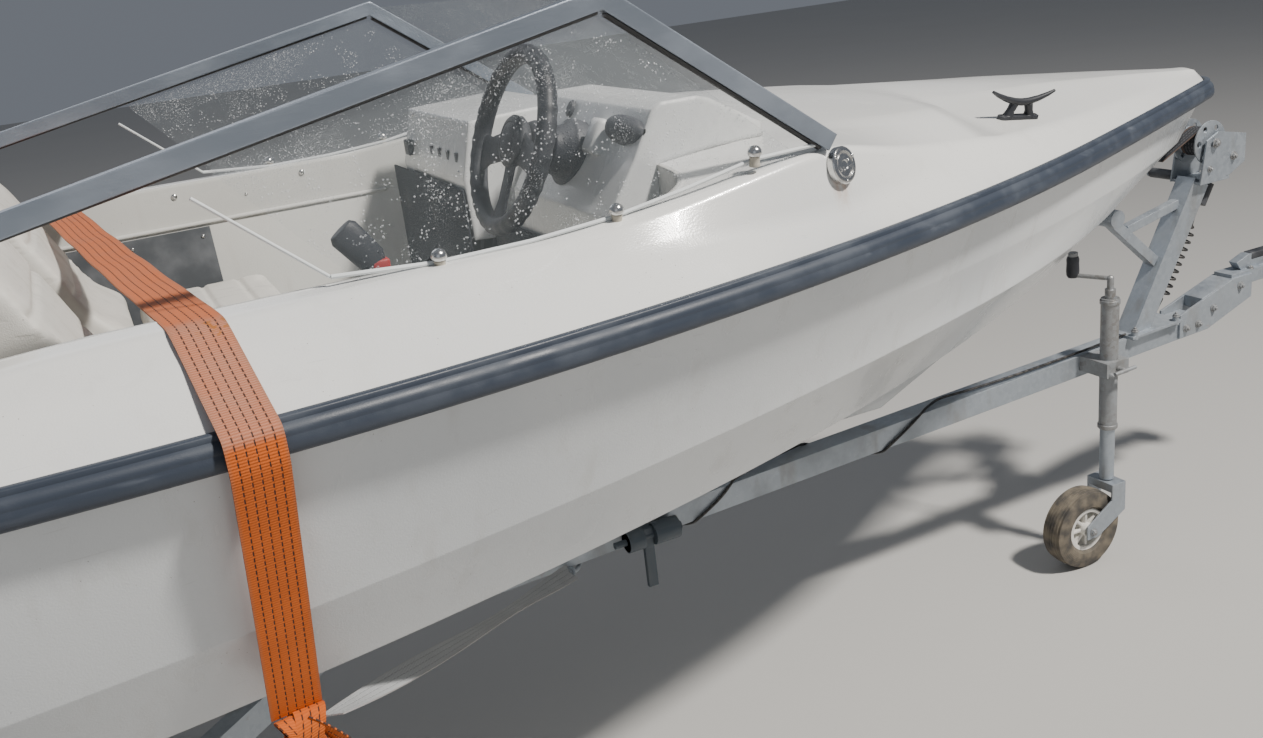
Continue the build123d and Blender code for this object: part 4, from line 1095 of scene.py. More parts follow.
@dataclass
class TrailerCable(Assembly):
    """Curly lighting cable from the foot plate up to its parked plug."""

    route: tuple[Spot, ...] = ((4412.0, 0, 618), (4499.0, 0, 774), (4585.8, 0, 930))
    sheath: float = 8.0
    coil_radius: float = 15.9
    turns: int = 10
    coil_from: float = 0.2
    coil_to: float = 0.82
    steps_a_turn: int = 14

    def line(self, points: Sequence[Vector], radius: float, name: str) -> bpy.types.Object:
        """A smooth cable through its control points.

        Args:
            points: The control points.
            radius: The sheath's radius in metres; none for a bare line.
            name: The piece's name.

        Returns:
            The curve.
        """
        data = bpy.data.curves.new(name, "CURVE")
        data.dimensions = "3D"
        data.bevel_depth = radius
        data.bevel_resolution = 3
        data.resolution_u = 4
        data.use_fill_caps = True
        spline = data.splines.new("NURBS")
        spline.points.add(len(points) - 1)
        for knot, point in zip(spline.points, points):
            knot.co = (*point, 1.0)
        spline.order_u = 3
        spline.use_endpoint_u = True
        piece = bpy.data.objects.new(name, data)
        bpy.context.scene.collection.objects.link(piece)
        return piece

    def read(self, piece: bpy.types.Object) -> list[Vector]:
        """The points of a bare line."""
        graph = bpy.context.evaluated_depsgraph_get()
        data = bpy.data.meshes.new_from_object(piece.evaluated_get(graph))
        points = [vert.co.copy() for vert in data.vertices]
        bpy.data.meshes.remove(data)
        return points

    def make(self) -> None:
        bare = self.line([at(*spot) for spot in self.route], 0.0, "cable_route")
        middle = self.read(bare)
        bpy.data.objects.remove(bare)
        lengths = [0.0]
        for near, far in zip(middle, middle[1:]):
            lengths.append(lengths[-1] + (far - near).length)

        def along(share: float) -> Vector:
            """The route's point at a share of its length."""
            goal = share * lengths[-1]
            for i, length in enumerate(lengths[1:]):
                if goal <= length:
                    part = (goal - lengths[i]) / (length - lengths[i])
                    return middle[i].lerp(middle[i + 1], part)
            return middle[-1]

        run = (middle[-1] - middle[0]).normalized()
        out = Vector((0, 1, 0))
        side = run.cross(out)
        points = [along(0), along(0.06), along(0.12)]
        steps = self.turns * self.steps_a_turn
        for i in range(steps + 1):
            share = self.coil_from + (self.coil_to - self.coil_from) * i / steps
            angle = tau * i / self.steps_a_turn
            size = self.coil_radius / 1000 * min(1.0, (i + 3) / 10, (steps - i + 3) / 10)
            points.append(along(share) + (out * sin(angle) - side * cos(angle)) * size)
        points += [along(0.88), along(0.94), along(1)]
        cable = self.line(points, self.sheath / 2000, "curly_cable")
        cable.data.materials.append(material_of(SHEATH))
        bare = self.line(points, 0.0, "cable_measure")
        measured = self.read(bare)
        bpy.data.objects.remove(bare)
        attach(cable, Body.HULL.value)
        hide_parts("trailer_cable")
        self.dress(BLACK, "trailer_plug")


@dataclass(frozen=True)
class Level:
    """One level outline of the hull: straight-ahead arcs on each side and a bow curve."""

    half: float
    beam_x: float
    aft_radius: float
    radius: float
    join: float
    tip: float
    nose: float

    def half_at(self, x: float, grow: float = 0.0) -> float:
        """Half the breadth at a place along the boat.

        Args:
            x: The place, in millimetres from the transom.
            grow: How far the outline is grown outward.

        Returns:
            Half the breadth in millimetres.
        """
        half, aft, fore, tip = self.half + grow, self.aft_radius + grow, self.radius + grow, self.tip + grow
        nose = max(self.nose + grow, 6)
        if x < self.beam_x:
            return half - aft + sqrt(aft**2 - (x - self.beam_x) ** 2)
        if x < self.join:
            return half - fore + sqrt(fore**2 - (x - self.beam_x) ** 2)
        lean = asin((self.join - self.beam_x) / fore)
        join_y = half - fore + fore * cos(lean)
        dx, dy = tip - nose - self.join, -join_y
        bow = (nose**2 - dx**2 - dy**2) / (2 * (dx * sin(lean) + dy * cos(lean) + nose))
        bow_x, bow_y = self.join - bow * sin(lean), join_y - bow * cos(lean)
        way = hypot(tip - nose - bow_x, bow_y)
        if x < tip - nose + nose * (tip - nose - bow_x) / way:
            return bow_y + sqrt(bow**2 - (x - bow_x) ** 2)
        return sqrt(max(nose**2 - (x - tip + nose) ** 2, 0.0))


SHEER = Level(891, 1600, 18000, 5150, 3700, 4540, 80)


@dataclass(frozen=True)
class Section:
    """The deck's shape across the boat at one place, in millimetres."""

    x: float
    middle_z: float
    crease_y: float
    crease_z: float
    ridge_in: float
    ridge_z: float
    side_in: float
    side_z: float


SECTIONS = (
    Section(0, 1318, 520, 1314, 120, 1306, 70, 1298),
    Section(350, 1334, 520, 1329, 150, 1323, 100, 1312),
    Section(1700, 1392, 520, 1391, 175, 1389, 100, 1354),
    Section(2360, 1400, 520, 1396, 135, 1391, 80, 1353),
    Section(2600, 1455, 470, 1436, 93, 1412, 75, 1353),
    Section(2750, 1474, 470, 1450, 62, 1433, 55, 1348),
    Section(2870, 1474, 470, 1453, 46, 1446, 40, 1345),
    Section(2950, 1470, 460, 1446, 58, 1430, 45, 1344),
    Section(3060, 1466, 450, 1438, 70, 1403, 48, 1343),
    Section(3200, 1456, 430, 1425, 85, 1379, 55, 1340),
    Section(3400, 1436, 364, 1411, 61, 1356, 30, 1326),
    Section(3870, 1388, 200, 1382, 52, 1330, 26, 1310),
    Section(4250, 1349, 110, 1346, 50, 1318, 25, 1304),
    Section(4500, 1322, 30, 1318, 29, 1305, 15, 1298),
)


def softened(points: Sequence[Vector], radii: Sequence[float], parts: int = 4) -> list[Vector]:
    """A path whose inner corners are short curves.

    Args:
        points: The path's corners.
        radii: How far each curve reaches from its corner.
        parts: Pieces of each curve.

    Returns:
        The softened path.
    """
    path = [points[0]]
    for before, corner, after, radius in zip(points, points[1:], points[2:], radii):
        start = corner + (before - corner).normalized() * min(radius, 0.45 * (before - corner).length)
        end = corner + (after - corner).normalized() * min(radius, 0.45 * (after - corner).length)
        for i in range(parts + 1):
            t = i / parts
            path.append(start * (1 - t) ** 2 + corner * 2 * t * (1 - t) + end * t**2)
    path.append(points[-1])
    return path


@dataclass
class HullAndDeck(Assembly):
    """Topsides, moulded deck, fender rail and what is bolted to them."""

    edge_z: float = 1290
    low_z: float = 1266.5
    skin: float = 6
    opening: tuple[float, float, float, float] = (420, 2640, 665, 120)
    well: tuple[float, float, float] = (-60, 360, 340)
    cutter_z: tuple[float, float] = (1180, 1700)
    smoothing: float = 55.0
    cap_faces: Spot = (0.35, -0.9, 0.2)
    eye_at: tuple[float, float] = (4395, 1100)
    eye_radius: float = 18
    bow_cleat: tuple[float, float] = (3552, -385)
    stern_cleat_x: float = 250
    stern_cleat_in: float = 115

    def section(self, x: float) -> Section:
        """The deck's section at a place, smoothed along the boat."""
        rows = []
        for step in (-1, -0.5, 0, 0.5, 1):
            place = min(max(x + step * self.smoothing, 0), SECTIONS[-1].x)
            for low, high in zip(SECTIONS, SECTIONS[1:]):
                if place <= high.x:
                    break
            part = (place - low.x) / (high.x - low.x)
            pairs = zip(vars(low).values(), vars(high).values())
            rows.append([a + part * (b - a) for a, b in pairs])
        return Section(*[sum(column) / len(rows) for column in zip(*rows)])

    def profile(self, x: float) -> list[Vector]:
        """Points across the deck from its middle to the sheer at one place."""
        form, half = self.section(x), max(SHEER.half_at(x), 0.4)
        crease_y = min(form.crease_y, 0.42 * half)
        if x < 3400:
            crease_y = min(form.crease_y, half - 220) if x < 2950 else min(form.crease_y, 0.75 * half)
        ridge_y = max(half - form.ridge_in, crease_y + 0.25 * (half - crease_y))
        side_y = max(half - form.side_in, ridge_y + 0.4 * (half - ridge_y))
        drop = form.middle_z - form.crease_z
        crown = [Vector((crease_y * i / 8, form.middle_z - drop * (i / 8) ** 2)) for i in range(9)]
        corners = [Vector((ridge_y, form.ridge_z)), Vector((side_y, form.side_z))]
        corners += [Vector((half, self.edge_z)), Vector((half, self.low_z))]
        path = crown[:-2] + softened([crown[-2], crown[-1], *corners], (45, 15, 15, 3), 5)
        if x > 4300:
            for point in path:
                inset = min(half - point.x, SHEER.tip - x)
                limit = self.edge_z + 0.85 * inset
                point.y = min(point.y, limit - 5 * (1 - min(inset / 30, 1)))
                point.y = max(point.y, self.low_z)
        return path

    def height(self, x: float, y: float) -> float:
        """Height of the deck at a place."""
        path = self.profile(x)
        for near, far in zip(path, path[1:]):
            if abs(y) <= far.x and far.x > near.x:
                return near.y + (far.y - near.y) * (abs(y) - near.x) / (far.x - near.x)
        return self.edge_z

    def normal(self, x: float, y: float) -> Vector:
        """The way the deck faces at a place."""
        step = 6.0
        slope_x = (self.height(x + step, y) - self.height(x - step, y)) / (2 * step)
        slope_y = (self.height(x, y + step) - self.height(x, y - step)) / (2 * step)
        return Vector((-slope_x, -slope_y, 1)).normalized()

    def deck(self) -> None:
        """The moulded deck with its soft creases and the cockpit's opening."""
        stations = between(0, 4280, 108) + between(4292, 4508, 19) + between(4512, 4540, 11)
        shape, rings = Shape(), []
        for x in stations:
            outer = self.profile(min(x, 4539.8))
            half = outer[-1].x
            inner = []
            for point in outer:
                inset = self.skin * (point.x / half) ** 8
                inner.append(Vector((max(point.x - inset, 0), max(point.y - self.skin, self.low_z))))
            port = [at(x, p.x, p.y) for p in outer[1:]]
            starboard = [at(x, -p.x, p.y) for p in outer]
            inner_port = [at(x, p.x, p.y) for p in inner[1:]]
            inner_starboard = [at(x, -p.x, p.y) for p in inner]
            rings.append(port[::-1] + starboard + inner_starboard[::-1] + inner_port)
        shape.skin(rings)
        piece = shape.build("deck_moulding", Body.HULL, "gelcoat", WHITE, 40)
        aft, fore, half = self.well
        well = [(aft, -half), (fore, -half), (fore, half), (aft, half)]
        for outline in (self.opening_path(0.0), well):
            cut(piece, Shape().skin([[at(x, y, z) for x, y in outline] for z in self.cutter_z]))
        shading = piece.modifiers.new("even shading", "WEIGHTED_NORMAL")
        shading.keep_sharp = True
        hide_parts("deck")
        roll = Shape()
        path = [at(x, y, self.height(x, y) - 6) for x, y in self.opening_path(3.0)]
        roll.tube([*path, path[0], path[1]], 7, 10)
        roll.build("coaming_roll", Body.HULL, "gelcoat", WHITE, 60)

    def opening_path(self, grow: float) -> list[tuple[float, float]]:
        """The cockpit's opening in plan, grown outward."""
        aft, front, half, corner = self.opening
        round_ = corner + grow
        path = []
        for cx, cy, start in (
            (front - corner, half - corner, 0), (aft + corner, half - corner, 90),
            (aft + corner, corner - half, 180), (front - corner, corner - half, 270),
        ):
            for step in range(9):
                angle = radians(start + 90 * step / 8)
                path.append((cx + round_ * cos(angle), cy + round_ * sin(angle)))
            if start in (0, 180):
                sign = 1 if start == 0 else -1
                xs = between(front - corner, aft + corner, 26)[1:-1]
                path += [(x, sign * (half + grow)) for x in (xs if start == 0 else xs[::-1])]
            elif start == 90:
                path += [(aft - grow, y) for y in between(half - corner, corner - half, 8)[1:-1]]
            else:
                path += [(front + grow, y) for y in between(corner - half, half - corner, 8)[1:-1]]
        return path

    def ring(self, share: float, grow: float, z: float) -> Vector:
        """A point of the grown sheer line: share 0 at the port quarter, 1 at the starboard quarter."""
        tip = SHEER.tip + grow
        x = tip * sin(pi * (share if share <= 0.5 else 1 - share))
        sign = 1 if share <= 0.5 else -1
        return at(x, sign * SHEER.half_at(min(x, tip - 0.01), grow) if share != 0.5 else 0.0, z)

    def rail(self) -> None:
        """Rounded fender rail with its seam lip and its seam line."""
        body = [
            (0.3, 1243.6), (13, 1243.8), (19, 1246), (23.4, 1250.5), (25, 1257), (24.6, 1266),
            (22.8, 1269.6), (22.6, 1271.4), (22.9, 1273.6), (21, 1279), (17.5, 1283.6), (13.2, 1286.2),
        ]
        lip = [(13, 1292.6), (11.4, 1294.4), (6, 1294.8), (0.3, 1294.6)]
        shape = Shape()
        shape.skin([[self.ring(i / 200, grow, z) for grow, z in body + lip] for i in range(201)])
        piece = shape.build("fender_rail", Body.HULL, "rail", FENDER, 50)
        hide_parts("rub_rail")

    def cap(self) -> None:
        """Chrome filler cap on the side deck, with its screws, and the eye at the stem."""
        seat, faces = at(*CAP_AT), Vector(self.cap_faces).normalized()
        shape = Shape()
        rim = [
            (32, -9), (32, 1.5), (30.5, 4), (26, 5.4), (23.6, 5), (22.8, 2.4), (21, 2), (19.6, 3.4),
            (9, 4), (7.6, 2.6), (0.2, 2.5),
        ]
        shape.turned(rim, seat, tuple(faces), 48)
        turn = axis_frame(faces)
        for step in range(3):
            angle = tau * step / 3 + 0.4
            place = seat + turn @ (Vector((27.5 * cos(angle), 27.5 * sin(angle), 4.6)) / 1000)
            shape.screw(place, tuple(faces), 3)
        for turn_by in (0.5, pi + 0.5):
            hole = seat + turn @ (Vector((14 * cos(turn_by), 14 * sin(turn_by), 3.6)) / 1000)
            shape.turned([(2.6, 0), (2.6, 1.2), (1.8, 1.4), (1.6, 0.2), (0.1, 0.2)], hole, tuple(faces), 12)
        (eye_x, eye_z), size = self.eye_at, self.eye_radius
        angles = between(radians(-125), radians(125), 24)
        shape.tube([at(eye_x + size * cos(a), 0, eye_z + size * sin(a)) for a in angles], 5, 12)
        for x, z in ((4400, 1116), (4386, 1084)):
            shape.turned([(10, -1), (10, 2), (7, 3.4), (5, 3.6)], at(x, 0, z), (0.85, 0, -0.5))
        piece = shape.build("filler_cap_and_eye", Body.HULL, "fittings", BRIGHT, 30)
        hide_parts("deck_fittings")

    def cleat(self, shape: Shape, x: float, y: float) -> None:
        """One horned cleat standing on the deck."""
        up = self.normal(x, y)
        seat = at(x, y, self.height(x, y))
        fore = (Vector((1, 0, 0)) - up * up.x).normalized()
        side = up.cross(fore)

        def spot(a: float, b: float, c: float) -> Vector:
            """A place on the cleat: along, across and above its seat."""
            return seat + (fore * a + side * b + up * c) / 1000

        foot = []
        for centre, start in ((44, -90), (-44, 90)):
            for step in range(9):
                angle = radians(start + 180 * step / 8)
                foot.append(spot(centre + 11 * cos(angle), 11 * sin(angle), -9))
        shape.slab(foot, up * 0.017, 2)
        head = [(5.2, 0), (5, 1), (3.4, 1.2), (3, -1), (0.1, -1)]
        for end in (-1, 1):
            shape.turned(head, spot(46 * end, 0, 8.2), tuple(up), 16)
            path = [spot(30 * end, 0, 4), spot(26 * end, 0, 18), spot(20 * end, 0, 33)]
            shape.tube(path, [12, 8.5, 9.5], 14)
        tip = [(87, 58.5, 3.6), (70, 51, 5.6), (46, 43, 7.4), (20, 37, 9)]
        horn = [(-a, c, size) for a, c, size in tip] + [(0, 35.5, 9.4)] + tip[::-1]
        shape.tube([spot(a, 0, c) for a, c, _ in horn], [size for _, _, size in horn], 14, 0.85)

    def make(self) -> None:
        """Dresses the hull and builds deck, rail and fittings."""
        # The hull takes the gelcoat with painted shade, greyer and bluer than the deck's.
        self.dress(TOPSIDES_IN_PAINTED_SHADE, "hull")
        self.dress(LINING, "motor_well")
        self.deck()
        self.rail()
        self.cap()
        shape = Shape()
        self.cleat(shape, *self.bow_cleat)
        x = self.stern_cleat_x
        for side in Side:
            self.cleat(shape, x, side.value * (SHEER.half_at(x) - self.stern_cleat_in))
        piece = shape.build("deck_cleats", Body.HULL, "trim", BLACK, 38)
        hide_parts("cleats")


@dataclass
class Upholstery(Assembly):
    """Back-to-back seats and the bench aft, on moulded boxes."""

    middle: float = 1510
    inner_y: float = 90
    outer_y: float = 545
    voxel: float = 0.009
    swell: float = 0.006
    pressure: float = 4.0
    ticks: int = 20
    board: float = 0.012
    seam: float = 0.018

    def stuffed(
        self, piece: bpy.types.Object, grooves: Sequence[float], seam_z: float, fixed_z: float
    ) -> None:
        """Fills a pad, lets its cover pull it round, then sews its channels.

        Args:
            piece: The pad's plain form.
            grooves: Where the channels run across it, in metres along x.
            seam_z: Height of the seam round its edge, in metres.
            fixed_z: The pad is held to its board below this height.
        """
        remesh = piece.modifiers.new("cover", "REMESH")
        remesh.mode, remesh.voxel_size = "VOXEL", self.voxel
        settled(piece)
        start = [vert.co.copy() for vert in piece.data.vertices]
        held = piece.vertex_groups.new(name="board")
        held.add([v.index for v in piece.data.vertices if v.co.z < fixed_z], 1.0, "REPLACE")
        stuffing = piece.modifiers.new("stuffing", "CLOTH")
        setup = stuffing.settings
        setup.use_pressure, setup.uniform_pressure_force = True, self.pressure
        setup.effector_weights.gravity = 0
        setup.vertex_group_mass = "board"
        setup.quality = 4
        scene = bpy.context.scene
        for tick in range(1, self.ticks + 1):
            scene.frame_set(tick)
        settled(piece)
        scene.frame_set(1)
        for vert, rest in zip(piece.data.vertices, start):
            move = vert.co - rest
            if move.length > self.swell:
                vert.co = rest + move.normalized() * self.swell
        rounding = piece.modifiers.new("rounding", "SMOOTH")
        rounding.iterations = 3
        finer = piece.modifiers.new("finer", "SUBSURF")
        finer.levels = finer.render_levels = 1
        settled(piece)
        mesh = piece.data
        for vert, normal in [(vert, vert.normal.copy()) for vert in mesh.vertices]:
            depth = sum(dip(vert.co.x - groove, 0.006, 0.0055) for groove in grooves)
            if (normal.z > 0.3 or abs(normal.x) > 0.5) and abs(normal.x) <= 0.9:
                vert.co -= normal * depth
            seam = dip(vert.co.z - seam_z, 0.005, 0.0035)
            if abs(normal.z) < 0.75:
                vert.co -= normal * seam
        mesh.shade_smooth()

    def pad(self, name: str, low: Vector, high: Vector, grooves: Sequence[float]) -> bpy.types.Object:
        """A flat cushion between two corners."""
        piece = Shape().block(low, high, 20).build(name, Body.HULL, "vinyl", PADS)
        self.stuffed(piece, grooves, high.z - self.seam, low.z + self.board)
        return piece

    def rest(
        self, name: str, outline: Outline, low_y: float, high_y: float, grooves: Sequence[float]
    ) -> bpy.types.Object:
        """A backrest from its outline seen from the side."""
        points = [at(x, low_y, z) for x, z in outline]
        broad = Vector((0, (high_y - low_y) / 1000, 0))
        piece = Shape().slab(points, broad, 14).build(name, Body.HULL, "vinyl", PADS)
        self.stuffed(piece, (), 9.0, min(point.z for point in points) + self.board)
        mesh = piece.data
        for vert, normal in [(vert, vert.normal.copy()) for vert in mesh.vertices]:
            depth = sum(dip(vert.co.z - groove, 0.007, 0.006) for groove in grooves)
            if abs(normal.y) < 0.6:
                vert.co -= normal * depth
        return piece

    def twin(self, piece: bpy.types.Object, name: str, flip: Matrix) -> None:
        """A copy of a pad, mirrored or turned into its own place."""
        data = piece.data.copy()
        data.transform(flip)
        if flip.determinant() < 0:
            data.flip_normals()
        copy = bpy.data.objects.new(name, data)
        bpy.context.scene.collection.objects.link(copy)
        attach(copy, Body.HULL.value)
        log.info("%s: twin", name)

    def make(self) -> None:
        """Builds the boxes, the pads and their twins."""
        inner, outer, mid = self.inner_y, self.outer_y, self.middle
        boxes = Shape()
        for side in Side:
            low, high = sorted((side.value * inner, side.value * outer))
            boxes.block(at(mid - 578, low, 866.5), at(mid + 578, high, 1104), 22)
            boxes.block(at(mid - 585, low - 3, 1090), at(mid + 585, high + 3, 1108), 8)
        piece = boxes.build("seat_boxes", Body.HULL, "liner", LINING, 40)
        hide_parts("front_seats")
        shift = at(mid, 0, 0).x
        across = Matrix.Scale(-1, 4, (0, 1, 0))
        turned = Matrix.Translation((2 * shift, 0, 0)) @ Matrix.Scale(-1, 4, (1, 0, 0))
        flips = (("starboard_fore", across), ("port_aft", turned), ("starboard_aft", across @ turned))
        low_y, high_y = inner + 10, outer - 10
        grooves = [at(mid + place, 0, 0).x for place in (350, 430, 510)]
        seat = self.pad(
            "seat_pad_port_fore", at(mid + 284, low_y, 1110), at(mid + 586, high_y, 1172), grooves
        )
        for name, flip in flips:
            self.twin(seat, f"seat_pad_{name}", flip)
        form = ((12, 1112), (262, 1112), (262, 1186), (196, 1242), (78, 1492), (44, 1508), (12, 1508))
        outline = [(mid + x, z) for x, z in form]
        heights = [at(0, 0, z).z for z in (1290, 1400)]
        rest = self.rest("seat_back_port_fore", outline, low_y, high_y, heights)
        for name, flip in flips:
            self.twin(rest, f"seat_back_{name}", flip)
        bench = Shape().block(at(408, -546, 866.5), at(676, 546, 1106), 18)
        piece = bench.build("bench_box", Body.HULL, "liner", LINING, 40)
        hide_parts("rear_bench")
        grooves = [at(place, 0, 0).x for place in (560, 630)]
        self.pad("bench_pad", at(500, -540, 1110), at(690, 540, 1166), grooves)
        back = [(412, 1108), (486, 1108), (560, 1186), (530, 1268), (500, 1286), (412, 1276)]
        self.rest("bench_back", back, -538, 538, [at(0, 0, 1215).z])


@dataclass
class Cockpit(Assembly):
    """Liner, boards and their screws, ledges and grab rails."""

    lean_in: float = 95
    lean_height: float = 430
    bend_z: float = 1290
    wall_y: float = 665
    rail_z: float = 1322
    rail_seat_y: float = 659

    def make(self) -> None:
        """Dresses the liner, screws its boards down and adds ledges and grab rails."""
        self.dress(LINING, "cockpit_liner")
        self.dress(BOARD, "dark_panels")
        shape = Shape()
        lean = atan2(self.lean_in, self.lean_height)
        face = (0, -cos(lean), sin(lean))
        board = 15.2
        for x in (1660, 1820, 1980):
            for z in (1025, 1262):
                y = self.wall_y - self.lean_in * (self.bend_z - z) / self.lean_height - board
                shape.screw(at(x, y, z), face, 4.5)
        for x, y, z in ((1938, 658.5, 1363), (2240, 658.5, 1368)):
            shape.screw(at(x, y, z), (0, -1, 0), 7.5)
        for x in (900, 1300, 1700, 2100):
            for side in Side:
                shape.screw(at(x, side.value * 658.6, 1340), (0, -side.value, 0), 4)
        shape.build("cockpit_screws", Body.HULL, "fittings", BRIGHT, 40)
        ledge = Shape()
        for side in Side:
            ledge.tube([at(x, side.value * 660, 1291) for x in between(470, 2440, 24)], 9, 12, 0.6)
        ledge.build("liner_ledge", Body.HULL, "liner", LINING, 60)
        grab = Shape()
        seat, out, z = self.rail_seat_y, 634, self.rail_z
        plan = ((760, seat), (775, out), (800, out), (920, out), (1040, out), (1065, out), (1080, seat))
        for side in Side:
            path = [at(x, side.value * y, z) for x, y in plan]
            grab.tube(softened(path, (10, 14, 20, 14, 10), 4), 8, 12)
            for x in (762, 1078):
                flange = [(17, 0), (17, 3), (14, 5), (9, 6)]
                grab.turned(flange, at(x, side.value * seat, z), (0, -side.value, 0), 24)
        grab.build("grab_rails", Body.HULL, "trim", BLACK, 40)


@dataclass
class Helm(Assembly):
    """Dash mouldings, instruments, steering wheel and the engine's control."""

    centre: Spot = (2466, -250, 1484)
    tilt: float = 20.0
    radius: float = 158.0
    rim: float = 17.5

    def frame_of_wheel(self) -> tuple[Vector, Matrix]:
        """Where the wheel's middle is, and its frame with z towards the driver."""
        lean = radians(self.tilt)
        axis = Vector((-cos(lean), 0, sin(lean)))
        across = Vector((0, 1, 0))
        return at(*self.centre), Matrix((across, axis.cross(across), axis)).transposed()

    def wheel(self) -> None:
        """Thick grip with finger rests, three broad spokes and a padded boss."""
        centre, turn = self.frame_of_wheel()

        def spot(a: float, b: float, c: float) -> Vector:
            """A place on the wheel in its own frame."""
            return centre + turn @ (Vector((a, b, c)) / 1000)

        shape, count, rings = Shape(), 180, []
        for i in range(count + 1):
            angle = tau * i / count
            wave = 0.9 * cos(36 * angle)
            ring = []
            for k in range(16):
                around = tau * k / 16
                size = self.rim - (wave * 0.9 if cos(around) > 0.2 else 0.0)
                size -= 0.6 if abs(sin(around)) < 0.1 and cos(around) < 0 else 0.0
                out = self.radius + size * cos(around)
                ring.append(spot(out * cos(angle), out * sin(angle), size * sin(around)))
            rings.append(ring)
        shape.skin(rings, capped=False)
        for middle, broad in ((90, 1.0), (14, 1.35), (166, 1.35)):
            angle = radians(middle)
            along, side = Vector((cos(angle), sin(angle))), Vector((-sin(angle), cos(angle)))
            rows = []
            for reach, wide, height in ((24, 24, -8), (60, 21, -8), (110, 20, -6), (150, 30, -2)):
                width = wide * broad
                row = []
                for k in range(12):
                    a = tau * k / 12
                    w, h = width * (abs(cos(a)) ** 0.6) * (1 if cos(a) > 0 else -1), 5.2 * sin(a)
                    row.append(spot(along.x * reach + side.x * w, along.y * reach + side.y * w, height + h))
                rows.append(row)
            shape.skin(rows)
        axis = tuple(turn @ Vector((0, 0, 1)))
        pad = [(30, -28), (40, -22), (48, -12), (48, 2), (43, 7), (35, 8.6), (33.5, 7.6), (32, 9), (20, 11.5)]
        shape.turned([*pad, (0.2, 12)], centre, axis, 48)
        shape.turned([(9.9, -145), (9.9, -26)], centre, axis, 24)
        shape.turned([(30, -70), (43, -66), (46, -58), (46, -40), (42, -32), (32, -27)], centre, axis, 40)
        piece = shape.build("helm_wheel", Body.STEERING, "trim", BLACK, 40)
        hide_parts("steering_wheel")

    def control(self) -> None:
        """Side-mounted control: box, cover plate, lever with its paddle grip and the stop button."""
        shape = Shape()
        shape.block(at(2052, -658, 1292), at(2138, -618, 1384), 10)
        shape.block(at(2058, -619, 1300), at(2132, -612, 1376), 3)
        shape.turned([(24, 0), (24, 8), (21, 12), (12, 14), (0.2, 14.5)], at(2095, -614, 1350), (0, 1, 0), 32)
        rows = []
        lean = Vector((-0.59, 0, 0.807))
        lever = ((-14, 11, 5), (8, 10, 5), (26, 16, 9), (38, 23, 12), (96, 25, 12.5), (104, 20, 9))
        for a, half, thick in lever:
            base = at(2122, -592, 1366) + lean * a / 1000
            row = []
            for k in range(20):
                angle = tau * k / 20
                side = Vector((lean.z, 0, -lean.x)) * half * cos(angle) / 1000
                row.append(base + side + Vector((0, thick * sin(angle) / 1000, 0)))
            rows.append(row)
        shape.skin(rows)
        piece = shape.build("engine_control", Body.HULL, "trim", WET_BLACK, 40)
        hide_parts("throttle_box")
        button = Shape()
        button.block(at(2096, -603, 1370), at(2124, -580, 1396), 4)
        button.turned([(8, 0), (8, 5), (6, 7), (0.2, 7.4)], at(2074, -612, 1316), (0, 1, 0), 24)
        button.build("control_buttons", Body.HULL, "trim", RED, 40)

    def instruments(self) -> None:
        """Boss behind the wheel, pod, oval switch, housing, dark boards of painted shade in the knee well,
        switches and loom.
        """
        centre, turn = self.frame_of_wheel()
        axis = turn @ Vector((0, 0, 1))
        shape = Shape()
        back = centre - axis * 0.15
        profile = [
            (10.4, 4), (56, 4), (62, 10), (64, 30), (62, 42), (54, 47), (53, 50), (50, 52), (44, 68),
            (42, 76), (36, 80), (10.4, 80),
        ]
        shape.turned(profile, back, tuple(axis), 56, hollow=True)
        face = Vector((-0.88, 0, 0.48))
        up = Vector((0.48, 0, 0.88))
        pod = at(2616, -436, 1496)
        rows = []
        for a in between(-64, 64, 17):
            reach = sqrt(max(1 - (a / 65.5) ** 2, 0.04))
            row = []
            for k in range(15):
                angle = pi * k / 14 - pi / 2
                lift = (30 * sin(angle) if sin(angle) < 0 else 22 * sin(angle)) * reach
                depth = 34 * reach * cos(angle) ** 0.7 if cos(angle) > 0.01 else 0.0
                row.append(pod + (Vector((0, a, 0)) + up * lift + face * (depth - 2)) / 1000)
            row.append(pod + (Vector((0, a, 0)) - face * 4) / 1000)
            rows.append(row)
        shape.skin(rows)
        seat = at(2624, -177, 1513)
        angles = between(0, tau, 25)[:-1]
        ring = [(Vector((0, 12 * cos(a), 0)) + up * 17 * sin(a)) / 1000 for a in angles]
        levels = ((1, -0.002), (1, 0.004), (0.8, 0.007), (0.1, 0.007))
        shape.skin([[seat + p * size + face * rise for p in ring] for size, rise in levels])
        piece = shape.build("dash_instruments", Body.HULL, "trim", WET_BLACK, 40)
        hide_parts("helm_instruments")
        raised = Shape()
        turn = Matrix((face.cross(up) * -1, face, up)).transposed()
        low, high = Vector((-0.024, -0.012, -0.033)), Vector((0.024, 0.034, 0.033))
        raised.block(low, high, 9, turn, at(2604, -345, 1474))
        raised.build("dash_housing", Body.HULL, "gelcoat", DASH, 40)
